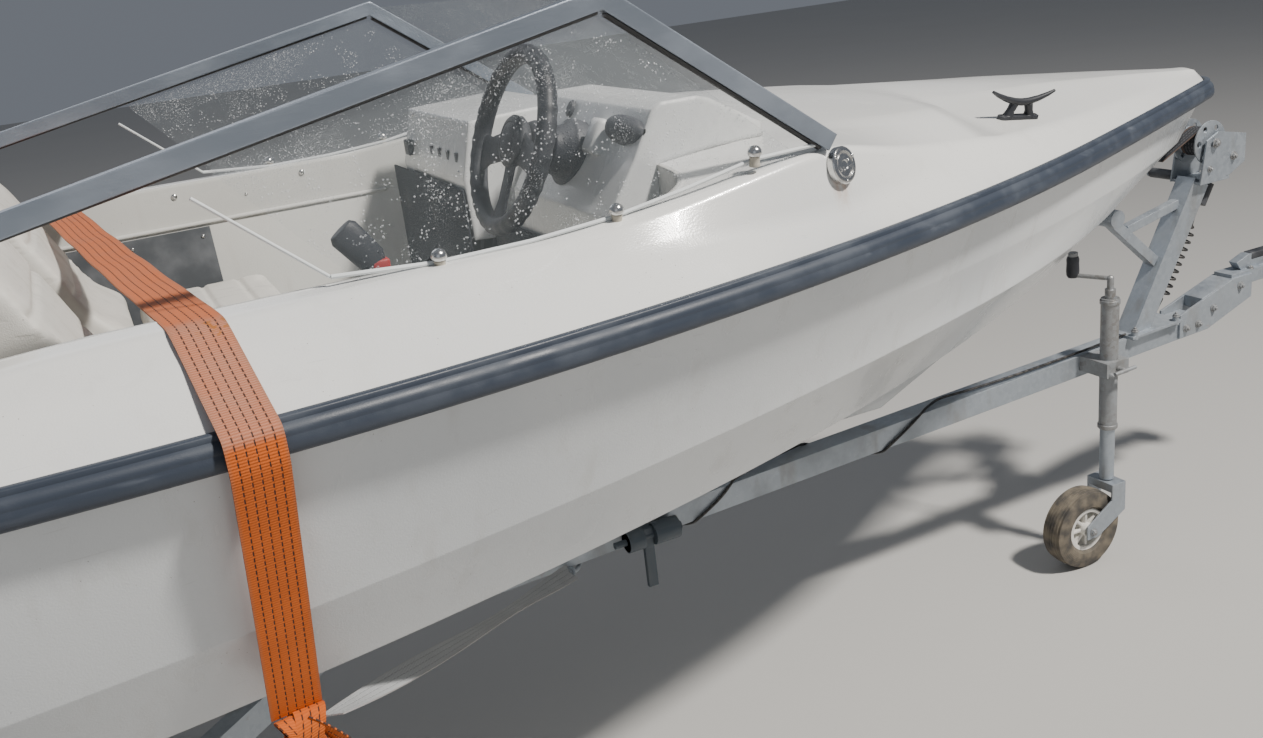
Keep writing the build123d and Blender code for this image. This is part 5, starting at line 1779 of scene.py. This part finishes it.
        # Painted shade: thin dark boards put in the open knee well under the dash, where there is only
        # shadow.
        shade_boards = Shape()
        shade_boards.block(at(2461, 86, 876), at(2466, 622, 1352), 2)
        shade_boards.block(at(2517, -500, 876), at(2522, 80, 1284), 2)
        shade_boards.build("knee_boards", Body.HULL, "trim", KNEE_WELL_SHADE, 40)
        port = Shape()
        port.block(at(2464, 470, 1388), at(2478, 506, 1424), 3)
        for y in (150, 210, 270, 330):
            port.block(at(2478, y - 9, 1396), at(2486, y + 9, 1422), 2)
        port.build("port_switches", Body.HULL, "trim", BLACK, 40)
        screws = Shape()
        for y in (130, 500):
            for z in (1384, 1478):
                x = 2470 + (z - 1370) * 0.25
                screws.screw(at(x, y, z), (-0.97, 0, 0.24), 4)
        for y in (-478, -72):
            screws.screw(at(2528, y, 1260), (-1, 0, 0), 4)
        screws.build("dash_screws", Body.HULL, "fittings", BRIGHT, 40)
        loom = Shape()
        for y, sag in ((300, 0), (312, 4), (325, 8)):
            run = (
                (2483, 0, 1396), (2476, 4, 1380), (2478, 22, 1366 - sag), (2482, 60, 1362 - sag),
                (2492, 90, 1354),
            )
            path = [at(x, y + across, z) for x, across, z in run]
            loom.tube(softened(path, (6, 12, 16), 3), 1.5, 8)
        loom.build("dash_loom", Body.HULL, "cable", SHEATH, 40)

    def make(self) -> None:
        """Dresses the dash and builds what is on it."""
        self.dress(DASH, "helm_console", "port_console")
        self.wheel()
        self.control()
        self.instruments()


@dataclass
class Windscreen(Assembly):
    """Panes in their frames, with studs and seals."""

    side_y: float = 680
    corner: tuple[float, float] = (2481, 1727)
    rail_end: tuple[float, float] = (640, 1356.8)
    foot: tuple[float, float] = (2867, 1452)
    studs: tuple[tuple[float, float], ...] = ((2174, 1401), (2462, 1413), (2715, 1459))
    edge: tuple[tuple[float, float], ...] = (
        (1859, 1546), (2018, 1404), (2174, 1392), (2320, 1394), (2462, 1404), (2590, 1424),
        (2715, 1448), (2850, 1452),
    )

    def seal(self, shape: Shape, ends: Outline, insets: tuple[float, float], drop: float, sign: int) -> None:
        """One seal along the inside of a frame member.

        Args:
            shape: Where the seal goes.
            ends: The member's ends, as places along the boat and heights.
            insets: How far the seal stops short of each end.
            drop: How far it lies inside the member's middle line.
            sign: Which side of the boat it is on.
        """
        start, end = Vector(ends[0]), Vector(ends[1])
        run = (end - start).normalized()
        inward = Vector((run.y, -run.x)) * drop
        strip = (start + run * insets[0] + inward, end - run * insets[1] + inward)
        shape.tube([at(p.x, sign * self.side_y, p.y) for p in strip], 8.5, 10, 0.6)

    def make(self) -> None:
        """Dresses panes and frames, and adds studs, seals and pane edges."""
        self.dress(PANES, "windscreen")
        self.dress(FRAMES, "screen_frames")
        studs, bases, seals, beads = Shape(), Shape(), Shape(), Shape()
        post = [(9, 0), (9.4, 2), (8.4, 5), (8.4, 14), (9.2, 16), (6.4, 18)]
        dome = [
            (6.2, 17), (10.6, 18), (11.8, 21), (11.8, 24), (10.4, 28.6), (7.2, 32), (3.4, 33.6),
            (0.2, 34),
        ]
        for side in Side:
            sign = side.value
            for x, z in self.studs:
                seat, up = at(x, sign * (self.side_y + 9), z - 20), (0, sign * 0.12, 1)
                bases.turned(post, seat, up, 24)
                studs.turned(dome, seat, up, 28)
            beads.tube([at(x, sign * self.side_y, z) for x, z in self.edge[:2]], 2.6, 8)
            beads.tube([at(x, sign * (self.side_y + 4), z + 1) for x, z in self.edge[1:]], 3.4, 8)
            self.seal(seals, (self.rail_end, self.corner), (60, 14), 16.2, sign)
            self.seal(seals, (self.corner, self.foot), (16, 14), 16.4, sign)
        studs.build("screen_studs", Body.HULL, "fittings", BRIGHT, 40)
        bases.build("stud_bases", Body.HULL, "fittings", IVORY, 40)
        seals.build("screen_seals", Body.HULL, "rail", SEAL, 40)
        beads.build("pane_edges", Body.HULL, "glass", EDGES, 40)


@dataclass
class Outboard(Assembly):
    """Cowl, castings, propeller and their fastenings."""

    middle: float = -292.5
    length: float = 405
    width: float = 300
    shaft: tuple[float, float] = (-372, 470)
    squareness: float = 0.5
    blades: int = 3

    def cowl(self) -> None:
        """Rounded cowl with a gasket line and side creases, and its louvres, latch and pads."""
        shape, rings = Shape(), []
        levels = (
            (1308.6, 0.9, 0.9, 0), (1318, 0.915, 0.915, 0), (1319, 0.9, 0.9, 0), (1324, 0.9, 0.9, 0),
            (1325, 0.93, 0.93, 0), (1350, 0.965, 0.97, 0), (1398, 0.998, 1.0, 0), (1470, 0.99, 0.985, 1),
            (1478, 0.975, 0.965, 1), (1540, 0.965, 0.95, 3), (1608, 0.94, 0.93, 6), (1660, 0.9, 0.88, 9),
            (1700, 0.84, 0.8, 12), (1726, 0.74, 0.68, 15), (1739, 0.58, 0.5, 17), (1744.5, 0.3, 0.24, 18),
        )
        for z, long, wide, shift in levels:
            ring = []
            for k in range(64):
                a = tau * k / 64
                c, s = cos(a), sin(a)
                x = self.length / 2 * long * abs(c) ** self.squareness * (1 if c > 0 else -1)
                y = self.width / 2 * wide * abs(s) ** self.squareness * (1 if s > 0 else -1)
                taper = 1 - 0.16 * (x / self.length + 0.5)
                ring.append(at(self.middle + x + shift, y * taper, z))
            rings.append(ring)
        shape.skin(rings)
        piece = shape.build("cowl", Body.ENGINE, "engine", COWL, 50, 1)
        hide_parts("engine_cowl")
        trim = Shape()
        for row in range(4):
            z = 1652 - row * 20
            trim.block(at(-481, -60, z - 6), at(-466, 60, z + 3), 3)
        trim.block(at(-492, -34, 1340), at(-478, 34, 1372), 4)
        for sign in (-1, 1):
            trim.block(at(-330, sign * 140 - 6, 1330), at(-270, sign * 140 + 6, 1358), 5)
        trim.build("cowl_trim", Body.ENGINE, "engine", BLACK, 40)

    def propeller(self) -> None:
        """Three twisted blades on a ribbed hub."""
        x, z = self.shaft
        shape = Shape()
        hub = [(10.2, -2), (30, -3), (33.6, -8), (34, -40), (31, -70), (26, -84), (16, -85.4), (10.2, -85)]
        shape.turned(hub, at(x, 0, z), (1, 0, 0), 40, hollow=True)
        for blade in range(self.blades):
            base = radians(360 / self.blades * blade + 90)
            rows = []
            for share in between(0, 1, 10):
                reach = 30 + 124 * share
                pitch = atan2(300, tau * max(reach, 50))
                half = 66 * sqrt(max(1 - (2 * share - 0.86) ** 2 / 1.42, 0.02)) * (0.75 + 0.25 * share)
                row = []
                for k in range(20):
                    a = tau * k / 20
                    chord, lift = half * cos(a), 3.4 * sin(a) * (1.15 - share) + 5 * (cos(a) ** 2) * share
                    turn = base + chord * cos(pitch) / max(reach, 34)
                    ahead = chord * sin(pitch) * 0.62 + lift - 42
                    row.append(at(x + ahead, reach * cos(turn), z + reach * sin(turn)))
                rows.append(row)
            shape.skin(rows)
        piece = shape.build("propeller_blades", Body.PROPELLER, "propeller", BLADE, 50, 1)
        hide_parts("propeller")
        nut = Shape()
        nut.turned([(16, -85.6), (16, -96), (13, -97.5), (7, -98)], at(x, 0, z), (1, 0, 0), 6)
        nut.build("propeller_nut", Body.PROPELLER, "fittings", BRIGHT, 30)

    def make(self) -> None:
        """Dresses the castings and builds cowl, propeller and bolts."""
        self.dress(CASTING, "engine_leg", "engine_swivel", "engine_clamp")
        self.cowl()
        self.propeller()
        bolts = Shape()
        for sign in (-1, 1):
            for z, x in ((925, 36), (975, 22), (1090, 6)):
                bolts.bolt(at(x - 30, sign * 116, z + 12), (0, sign, 0), 7)
            bolts.bolt(at(-25, sign * 122, 1215), (0, sign, 0), 10)
        bolts.build("clamp_bolts", Body.HULL, "fittings", BRIGHT, 30)
        leg = Shape()
        for sign in (-1, 1):
            for z in (1260, 1275):
                leg.bolt(at(-180, sign * 40, z - 5), (0, sign, 0), 5, 2)
            for z in (560, 600, 700, 780):
                leg.screw(at(-262, sign * (27 + (z - 470) * 0.058), z), (0, sign, 0.1), 6)
        leg.block(at(-350, -24, 610), at(-300, 24, 634), 4)
        leg.build("leg_fastenings", Body.ENGINE, "engine", BRIGHT, 30)
        grips = Shape()
        for y in (-108, 108):
            for end in (-26, 26):
                grips.turned([(7, -5), (8, 0), (7, 5)], at(150, y + end, 1130), (0, 1, 0), 16)
        grips.build("clamp_grips", Body.HULL, "trim", BLACK, 40)


@dataclass
class TrailerFrame(Assembly):
    """Galvanised chassis with its bolts, lamps, guards and wiring."""

    rise: float = 0.04
    bar_x: float = 4079
    bar_top: float = 596
    beam_places: tuple[float, ...] = (300, 1050)
    rollers: tuple[float, ...] = (420, 1500, 2800)
    side_roller: tuple[float, float] = (2725, -66)
    wire: float = 3.6

    def top(self, x: float) -> float:
        """Height of the chassis's top at a place."""
        return self.bar_top + self.rise * (x - self.bar_x)

    def fastenings(self) -> None:
        """Bolts at the joints of the frame."""
        shape = Shape()
        for x in self.beam_places:
            for sign in (-1, 1):
                for dx in (-38, 38):
                    for y in (sign * 575, sign * 625):
                        shape.turned([(5, -84), (5, 3)], at(x + dx, y, self.top(x)), (0, 0, 1), 12)
                        shape.bolt(at(x + dx, y, self.top(x) + 2), (0, 0, 1), 7, 6)
                    low = at(x + dx - 8, sign * 600 - 34, self.top(x) - 1)
                    shape.block(low, at(x + dx + 8, sign * 600 + 34, self.top(x) + 4), 1)
        for x in self.rollers:
            for sign in (-1, 1):
                shape.bolt(at(x, sign * 36.2, 586.7), (0, sign, 0), 8, 3)
                for dx in (-13, 13):
                    shape.bolt(at(x + dx, sign * 36.2, self.top(x) - 30), (0, sign, 0), 6, 3)
        for sign in (-1, 1):
            for dx in (-44, 44):
                shape.bolt(at(1230 + dx, sign * 600, 374.5), (0, 0, -1), 8, 6)
            for x in (4300, 4462):
                shape.bolt(at(x, sign * 42, self.top(x) + 20), (0, 0.01, 1), 8, 5)
            for x in (4510, 4560):
                shape.bolt(at(x, sign * 37, self.top(x) - 30), (0, sign, 0), 9, 5)
            for dx in (-250, 250):
                shape.bolt(at(1100 + dx, sign * 640, 451), (0, 0, 1), 7, 3)
        shape.build("frame_bolts", Body.HULL, "galvanised", DARK_ZINC, 30)

    def lamps(self) -> None:
        """Lamp lenses, the bare plate and their screws."""
        lenses = (("red_lenses", RED_LENS, -98, 20), ("amber_lenses", AMBER_LENS, 24, 98))
        for name, finish, low, high in lenses:
            shape = Shape()
            for sign in (-1, 1):
                a, b = sorted((sign * (700 + low), sign * (700 + high)))
                shape.block(at(66, a, 372), at(71.5, b, 452), 2.4)
            shape.build(name, Body.HULL, "lamps", finish, 40)
        plate = Shape()
        plate.block(at(99, -248, 353), at(103, 248, 459), 1.5)
        plate.block(at(98, -255, 348), at(99.5, 255, 464), 0.6)
        plate.build("bare_plate", Body.HULL, "lamps", PLATE, 40)
        screws = Shape()
        for y in (-225, 225):
            screws.screw(at(98, y, 406), (-1, 0, 0), 5)
        for sign in (-1, 1):
            for y in (610, 790):
                screws.screw(at(66, sign * y, 412), (-1, 0, 0), 4)
        screws.build("lamp_screws", Body.HULL, "fittings", BRIGHT, 40)

    def wiring(self) -> None:
        """Cable laid round the drawbar."""
        shape = Shape()
        wrap = (
            (4290, -18, 5), (4120, -24, 5), (3900, -22, 5), (3720, -12, 5), (3640, 4, 5),
            (3580, -20, 5), (3545, -34, 0), (3500, -35, -25), (3440, -35, -55), (3425, -30, -65),
            (3380, 0, -65), (3340, 28, -65), (3320, 35, -55), (3280, 35, -30), (3240, 34, 0),
            (3200, 24, 5), (3080, 0, 5), (2990, -24, 5), (2972, -34, 0), (2940, -35, -25),
            (2880, -35, -55), (2862, -29, -65), (2820, 0, -65), (2600, 8, -65), (2200, 6, -65),
            (1700, 4, -65),
        )
        path = []
        for x, y, z in wrap:
            off = (self.wire if z > 0 else 0) - (0.6 if z < -60 else 0)
            path.append(at(x, y, self.top(x) + z + off))
        shape.tube(softened(path, [30] * (len(path) - 2), 4), self.wire, 10)
        shape.build("frame_wiring", Body.HULL, "cable", SHEATH, 60)

    def make(self) -> None:
        """Dresses the frame and adds its fastenings."""
        self.dress(
            ZINC, "drawbar", "side_rails", "cross_beams", "axle", "winch_post", "bow_stop", "roller_brackets"
        )
        self.dress(GUARD, "mudguards", "lamp_board")
        self.dress(FOAM, "bunks")
        self.dress(ROLLER, "side_roller", "keel_roller_1", "keel_roller_2", "keel_roller_3")
        self.fastenings()
        self.lamps()
        self.wiring()
        roller = Shape()
        x, y = self.side_roller
        z = self.top(x) - 32
        for start, end in ((14.4, 78), (-55, -14.4)):
            profile = [(24, 0), (26.4, 3), (26.6, abs(end - start) - 3), (24, abs(end - start))]
            roller.turned(profile, at(x + start, y, z), (1, 0, 0), 32)
        roller.turned([(12, 78), (13.5, 80), (13.5, 86), (10, 88)], at(x, y, z), (1, 0, 0), 6)
        roller.build("side_roller_sleeves", Body.HULL, "roller", ROLLER, 40)


@dataclass
class RoadWheels(Assembly):
    """Tyres with tread and walls, wheel bolts and dust caps."""

    x: float = 1100
    y: float = 780
    radius: float = 281
    width: float = 145
    grooves: tuple[float, ...] = (-42, -15, 15, 42)
    blocks: int = 60

    def tyre(self, side: Side) -> None:
        """One road tyre with four grooves, block edges and wall ribs."""
        r, half = self.radius, self.width / 2
        wall = (
            (165.4, 0.76), (176, 0.84), (182, 0.93), (205, 1.0), (232, 0.995), (250, 0.96),
            (262, 0.9), (271, 0.82), (277, 0.72),
        )
        outer = [(radius, -half * share) for radius, share in wall]
        tread = []
        for groove in self.grooves:
            steps = ((-5, 0.4), (-3.6, 6.4), (3.6, 6.4), (5, 0.4))
            tread += [(r - deep, groove + aside) for aside, deep in steps]
        profile = outer + tread + [(radius, -a) for radius, a in outer[::-1]]
        centre = at(self.x, side.value * self.y, r)
        shape = Shape()
        shape.turned(profile, centre, (0, 1, 0), 96, hollow=True)
        blocks = Shape()
        body = WHEEL_BODIES[side]
        rubber = TyreRubber(
            f"road tyre {side.name.lower()}", (0.03, 0.03, 0.032), hub=tuple(centre), mud=(0.1, 0.095, 0.088)
        )
        piece = shape.build(f"road_tyre_{side.name.lower()}", body, "tyre", rubber, 32)
        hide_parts(f"tyre_{side.name.lower()}")
        reach = Vector((0.0082, 0.007, 0.004))
        for step in range(self.blocks):
            turn = Matrix.Rotation(tau * step / self.blocks, 3, "Y")
            for place in (-55, 55):
                spot = centre + turn @ Vector((0, place / 1000, (r - 4.6) / 1000))
                blocks.block(-reach, reach, 1, turn, spot)
        blocks.build(f"tread_blocks_{side.name.lower()}", body, "tyre", rubber, 40)

    def fittings(self, side: Side) -> None:
        """Wheel bolts, valve and dust cap of one wheel."""
        sign = side.value
        body = WHEEL_BODIES[side]
        shape = Shape()
        for step in range(5):
            angle = tau * step / 5
            spot = at(self.x + 66 * cos(angle), sign * (self.y + 21.4), self.radius + 66 * sin(angle))
            shape.turned([(13, 0), (11, 3), (10, 3.2), (10, 12), (8, 14), (0.2, 14.4)], spot, (0, sign, 0), 6)
        cap = [(33, -2), (33, 6), (31, 16), (25, 24), (14, 28), (0.2, 29)]
        shape.turned(cap, at(self.x, sign * (self.y + 30), self.radius), (0, sign, 0), 40)
        shape.build(f"wheel_bolts_{side.name.lower()}", body, "fittings", ZINC, 30)
        valve = Shape()
        stem = [at(self.x + x, sign * (self.y + y), self.radius) for x, y in ((140, 20), (134, 46))]
        valve.tube(stem, [5, 3.6], 12)
        valve.build(f"valve_{side.name.lower()}", body, "tyre", SEAL, 40)

    def make(self) -> None:
        """Dresses the rims and builds both tyres."""
        self.dress(SILVER, "rim_port", "rim_starboard")
        for side in Side:
            self.tyre(side)
            self.fittings(side)


@dataclass
class WinchAndStop(Assembly):
    """Winch with its strap and grip, and the post's bolts."""

    axle: Spot = (4574, 0, 1111)
    eye: Spot = (4412, 0, 1081.8)

    def make(self) -> None:
        """Dresses the winch and builds strap, bolts and grip."""
        self.dress(ZINC, "winch_drum")
        x, _, z = self.axle
        shape = Shape()
        reach = 39.8
        dx, dz = self.eye[0] - x, self.eye[2] - z
        spread = hypot(dx, dz)
        turn = atan2(dz, dx) - (pi / 2 - asin(reach / spread))
        top = at(x + reach * cos(turn), 0, z + reach * sin(turn))
        end = at(*self.eye)
        path = [top.lerp(end, i / 12) for i in range(13)]
        shape.ribbon(path, [Vector((0, 1, 0))] * 13, 40, 2.4)
        for lap in range(2):
            size = 38.4 + 1.2 * lap
            arc = [at(x + size * cos(a), 0, z + size * sin(a)) for a in between(turn, turn + tau * 0.99, 60)]
            shape.ribbon(arc, [Vector((0, 1, 0))] * 60, 58 - 10 * lap, 0.9)
        piece = shape.build("winch_webbing", Body.HULL, "grey_webbing", DARK, 40)
        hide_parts("winch_strap")
        bolts = Shape()
        for sign in (-1, 1):
            bolts.bolt(at(x, sign * 56.4, z), (0, sign, 0), 10, 2)
            bolts.bolt(at(4652, sign * 51.2, 1062), (0, sign, 0), 9, 5)
            bolts.bolt(at(4560, sign * 51.2, 1040), (0, sign, 0), 7, 4)
        bolts.turned([(9, 46), (9, -46)], at(4652, 0, 1062), (0, 1, 0), 20)
        bolts.build("winch_bolts", Body.HULL, "galvanised", DARK_ZINC, 30)
        grip = Shape()
        knurl = [
            (13.2, 0), (14.4, 2), (14.4, 8), (13.4, 9), (14.4, 10), (14.4, 90), (13.4, 92),
            (14.4, 94), (12, 100), (0.2, 101),
        ]
        grip.turned(knurl, at(x, 62, z - 105), (0, 1, 0), 28)
        grip.build("winch_grip", Body.WINCH, "trim", BLACK, 40)


@dataclass
class JockeyWheel(Assembly):
    """Small nose wheel: ribbed tyre, spoked rim, clamp and crank."""

    x: float = 4050
    y: float = -95
    radius: float = 115
    width: float = 70
    tube_x: float = 4145
    spokes: int = 8

    def make(self) -> None:
        """Dresses the leg and builds the wheel, clamp lever and knob."""
        self.dress(DARK_ZINC, "jockey_tube", "jockey_crank")
        self.dress(ZINC, "jockey_leg", "jockey_fork")
        r, half = self.radius, self.width / 2
        shares = ((62.6, 0.72), (70, 0.92), (84, 0.995), (97, 0.97), (104, 0.9))
        wall = [(radius, -half * share) for radius, share in shares]
        ribs = []
        for place in between(-27, 27, 7):
            height = r - 5.4 * (abs(place) / half) ** 2
            ribs += [(height - 2.4, place - 4.3), (height, place - 3.2), (height, place + 3.2)]
        profile = wall + ribs + [(r - 5.4, 31)] + [(radius, -a) for radius, a in wall[::-1]]
        centre = at(self.x, self.y, r)
        rubber = TyreRubber(
            "jockey tyre", (0.06, 0.055, 0.05), hub=tuple(centre), mud=(0.3, 0.25, 0.18), ring=0.005
        )
        shape = Shape()
        shape.turned(profile, centre, (0, 1, 0), 72, hollow=True)
        tyre = shape.build("jockey_tyre", Body.JOCKEY_WHEEL, "tyre", rubber, 32)
        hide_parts("jockey_wheel")
        rim = Shape()
        loop = [(63.4, -24), (62, -26), (52, -25), (50, -20), (50, 20), (52, 25), (62, 26), (63.4, 24)]
        rim.turned(loop, centre, (0, 1, 0), 64, hollow=True)
        hub = [(8.2, -33), (18, -33), (20, -30), (20, 30), (18, 33), (8.2, 33)]
        rim.turned(hub, centre, (0, 1, 0), 40, hollow=True)
        reach = Vector((0.017, 0.02, 0.0042))
        for step in range(self.spokes):
            turn = Matrix.Rotation(tau * step / self.spokes, 3, "Y")
            spot = centre + turn @ Vector((0.036, 0, 0))
            rim.block(-reach, reach, 2, turn, spot)
        rim.build("jockey_rim", Body.JOCKEY_WHEEL, "rim", CHALK, 40)
        knob = Shape()
        grip = [
            (10, -4), (14, -3), (16.6, 2), (17.4, 14), (16.4, 36), (17, 46), (15, 53), (9, 56),
            (0.2, 56.6),
        ]
        knob.turned(grip, at(4105, -1, 823), (0, 0, 1), 32)
        knob.build("crank_knob", Body.JOCKEY_CRANK, "trim", BLACK, 40)
        clamp, x = Shape(), self.tube_x
        clamp.tube([at(x, -128, 576), at(x, -150, 576)], 7, 14)
        clamp.tube([at(x - 37, -152, 574), at(x + 37, -152, 578)], 5.5, 14)
        clamp.bolt(at(x - 25, -127.2, 562), (0, -1, 0), 6, 4)
        for z, low, high in ((760, 24.6, 26.6), (400, 24.4, 26.8)):
            clamp.turned([(low, -6), (high, -5), (high, 5), (low, 6)], at(x, self.y, z), (0, 0, 1), 40)
        clamp.build("jockey_clamp", Body.HULL, "galvanised", DARK_ZINC, 40)
        nuts = Shape()
        for sign in (-1, 1):
            nuts.bolt(at(self.x, self.y + sign * 46.2, r), (0, sign, 0), 9, 2)
        nuts.build("jockey_nuts", Body.JOCKEY_FORK, "galvanised", DARK_ZINC, 30)


@dataclass
class Coupling(Assembly):
    """Ball coupling with its bolts and the grip of its handle."""

    def make(self) -> None:
        """Dresses the coupling and adds its fastenings."""
        self.dress(ZINC, "coupling")
        shape = Shape()
        for sign in (-1, 1):
            for x, z in ((4620, 620), (4730, 664)):
                shape.bolt(at(x, sign * 37.2, z), (0, sign, 0), 9, 5)
        for x in (4790, 4870):
            for y in (-22, 22):
                shape.bolt(at(x, y, 700.2), (0, 0, 1), 7, 3)
        shape.build("coupling_bolts", Body.HULL, "galvanised", DARK_ZINC, 30)
        grip = Shape()
        grip.block(at(4800, -15.6, 722), at(4918, 15.6, 744), 5)
        grip.build("coupling_grip", Body.HULL, "trim", BLACK, 40)


@dataclass
class Straps(Assembly):
    """Orange strap over the boat with its knots, and the grey lashing."""

    x: float = 1750
    z: float = 1390
    turn: float = 6.0
    width: float = 75
    rail_y: float = 925.7

    def knot(self, shape: Shape, place: Matrix, side: Side) -> None:
        """Folded loops and tails of the strap at one chine."""
        sign = side.value
        centre = Vector((4, sign * (self.rail_y - 136), -606))

        def spot(a: float, b: float, c: float) -> Vector:
            """A place about the knot's middle."""
            moved = place @ (centre + Vector((a, sign * b, c)))
            return at(moved.x, moved.y, moved.z)

        across = (place.to_3x3() @ Vector((1, 0, 0))).normalized()
        for lean, size, width in ((-24, 1.0, 52), (18, 1.12, 46)):
            path, sides = [], []
            tilt = radians(lean)
            for i in range(29):
                a = tau * i / 28
                along = 34 * size * sin(a) * sin(tilt)
                path.append(spot(along, 19 * size * cos(a), 30 * size * sin(a)))
                sides.append((across + Vector((0, 0, 1)) * tilt * 0.8 * cos(a)).normalized())
            shape.ribbon(path, sides, width, 3)
        for reach, fall, width, bend in ((-58, 26, 44, 0.5), (52, 34, 50, -0.4)):
            steps = between(0, 1, 10)
            path = [spot(reach * t, 6 + 8 * sin(3 * t), 10 - fall * t - 26 * t * t) for t in steps]
            sides = [Vector((0.25, bend, 0.85 - 0.5 * t)).normalized() for t in steps]
            shape.ribbon(path, sides, width, 2.6)

    def tie_down(self) -> None:
        """The wide strap from knot to knot over the boat."""
        place = Matrix.Translation((self.x, 0, self.z)) @ Matrix.Rotation(radians(self.turn), 4, "Z")
        r = self.rail_y
        half = [(r - 140, -572), (r, -148), (r, -102), (r - 16, -91), (735, 0), (700, 1.2)]
        corners = [Vector((0, -y, z)) for y, z in half]
        corners += [Vector((0, y, 1.2)) for y in between(-560, 560, 9)]
        corners += [Vector((0, y, z)) for y, z in half[::-1]]
        reach = [14, 14, 12, 26, 12] + [40] * 9 + [12, 26, 12, 14, 14]
        path = softened(corners, reach, 4)
        fine = []
        for near, far in zip(path, path[1:]):
            parts = max(1, int((far - near).length / 24))
            fine += [near.lerp(far, i / parts) for i in range(parts)]
        fine.append(path[-1])
        line = []
        for point in fine:
            free = max(0.0, 1 - (abs(point.y) / 660) ** 2) if point.z > -1 else 0.0
            ripple = 1.6 * sin(point.y / 46) * (1 if abs(point.y) < 640 else 0)
            moved = place @ (point + Vector((0, 0, -7 * free + ripple * free)))
            line.append(at(moved.x, moved.y, moved.z))
        across = (place.to_3x3() @ Vector((-1, 0, 0))).normalized()
        shape = Shape()
        shape.ribbon(line, [across] * len(line), self.width, 3, 10)
        for side in Side:
            self.knot(shape, place, side)
        piece = shape.build("tie_down_webbing", Body.HULL, "orange_webbing", ORANGE, 60)
        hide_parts("tie_down_strap")

    def lashing(self) -> None:
        """Narrow strap from the knot to the drawbar, half turned along its run, and its hook."""
        start, end = at(1880, -748, 775), at(2534, -52, 477)
        run = (end - start).normalized()
        flat = Vector((0, 0, 1)).cross(run).normalized()
        lift = run.cross(flat)
        path, sides = [], []
        for t in between(0, 1, 60):
            roll = radians(-12 + 46 * t + 22 * sin(7 * t))
            path.append(start.lerp(end, t) - Vector((0, 0, 0.0015 + 0.006 * sin(pi * t))))
            sides.append(flat * cos(roll) + lift * sin(roll))
        shape = Shape()
        shape.ribbon(path, sides, 42, 2.4, 6)
        piece = shape.build("lashing_webbing", Body.HULL, "grey_webbing", GREY, 60)
        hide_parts("lashing_strap")
        hook = Shape()
        bend = (
            (2526, -58, 480), (2536, -48, 474), (2548, -38, 466), (2562, -26, 466), (2570, -14, 474)
        )
        hook.tube(softened([at(*spot) for spot in bend], (8, 8, 8), 4), 5.5, 12)
        hook.turned([(12, -3), (12, 3), (7, 4), (7, -4)], at(2530, -54, 477), tuple(run), 20, hollow=True)
        hook.build("lashing_hook", Body.HULL, "fittings", ZINC, 40)

    def make(self) -> None:
        """Lays both straps."""
        self.tie_down()
        self.lashing()


def main() -> None:
    """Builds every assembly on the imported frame."""
    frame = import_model()
    studio = Studio()
    studio.camera()
    TrailerCable(frame).make()
    studio.make()
    for part in (
        HullAndDeck, Cockpit, Upholstery, Helm, Windscreen, Outboard, TrailerFrame,
        RoadWheels, WinchAndStop, JockeyWheel, Coupling, Straps,
    ):
        part(frame).make()
        log.info("%s is done", part.__name__)


if __name__ == "__main__":
    main()
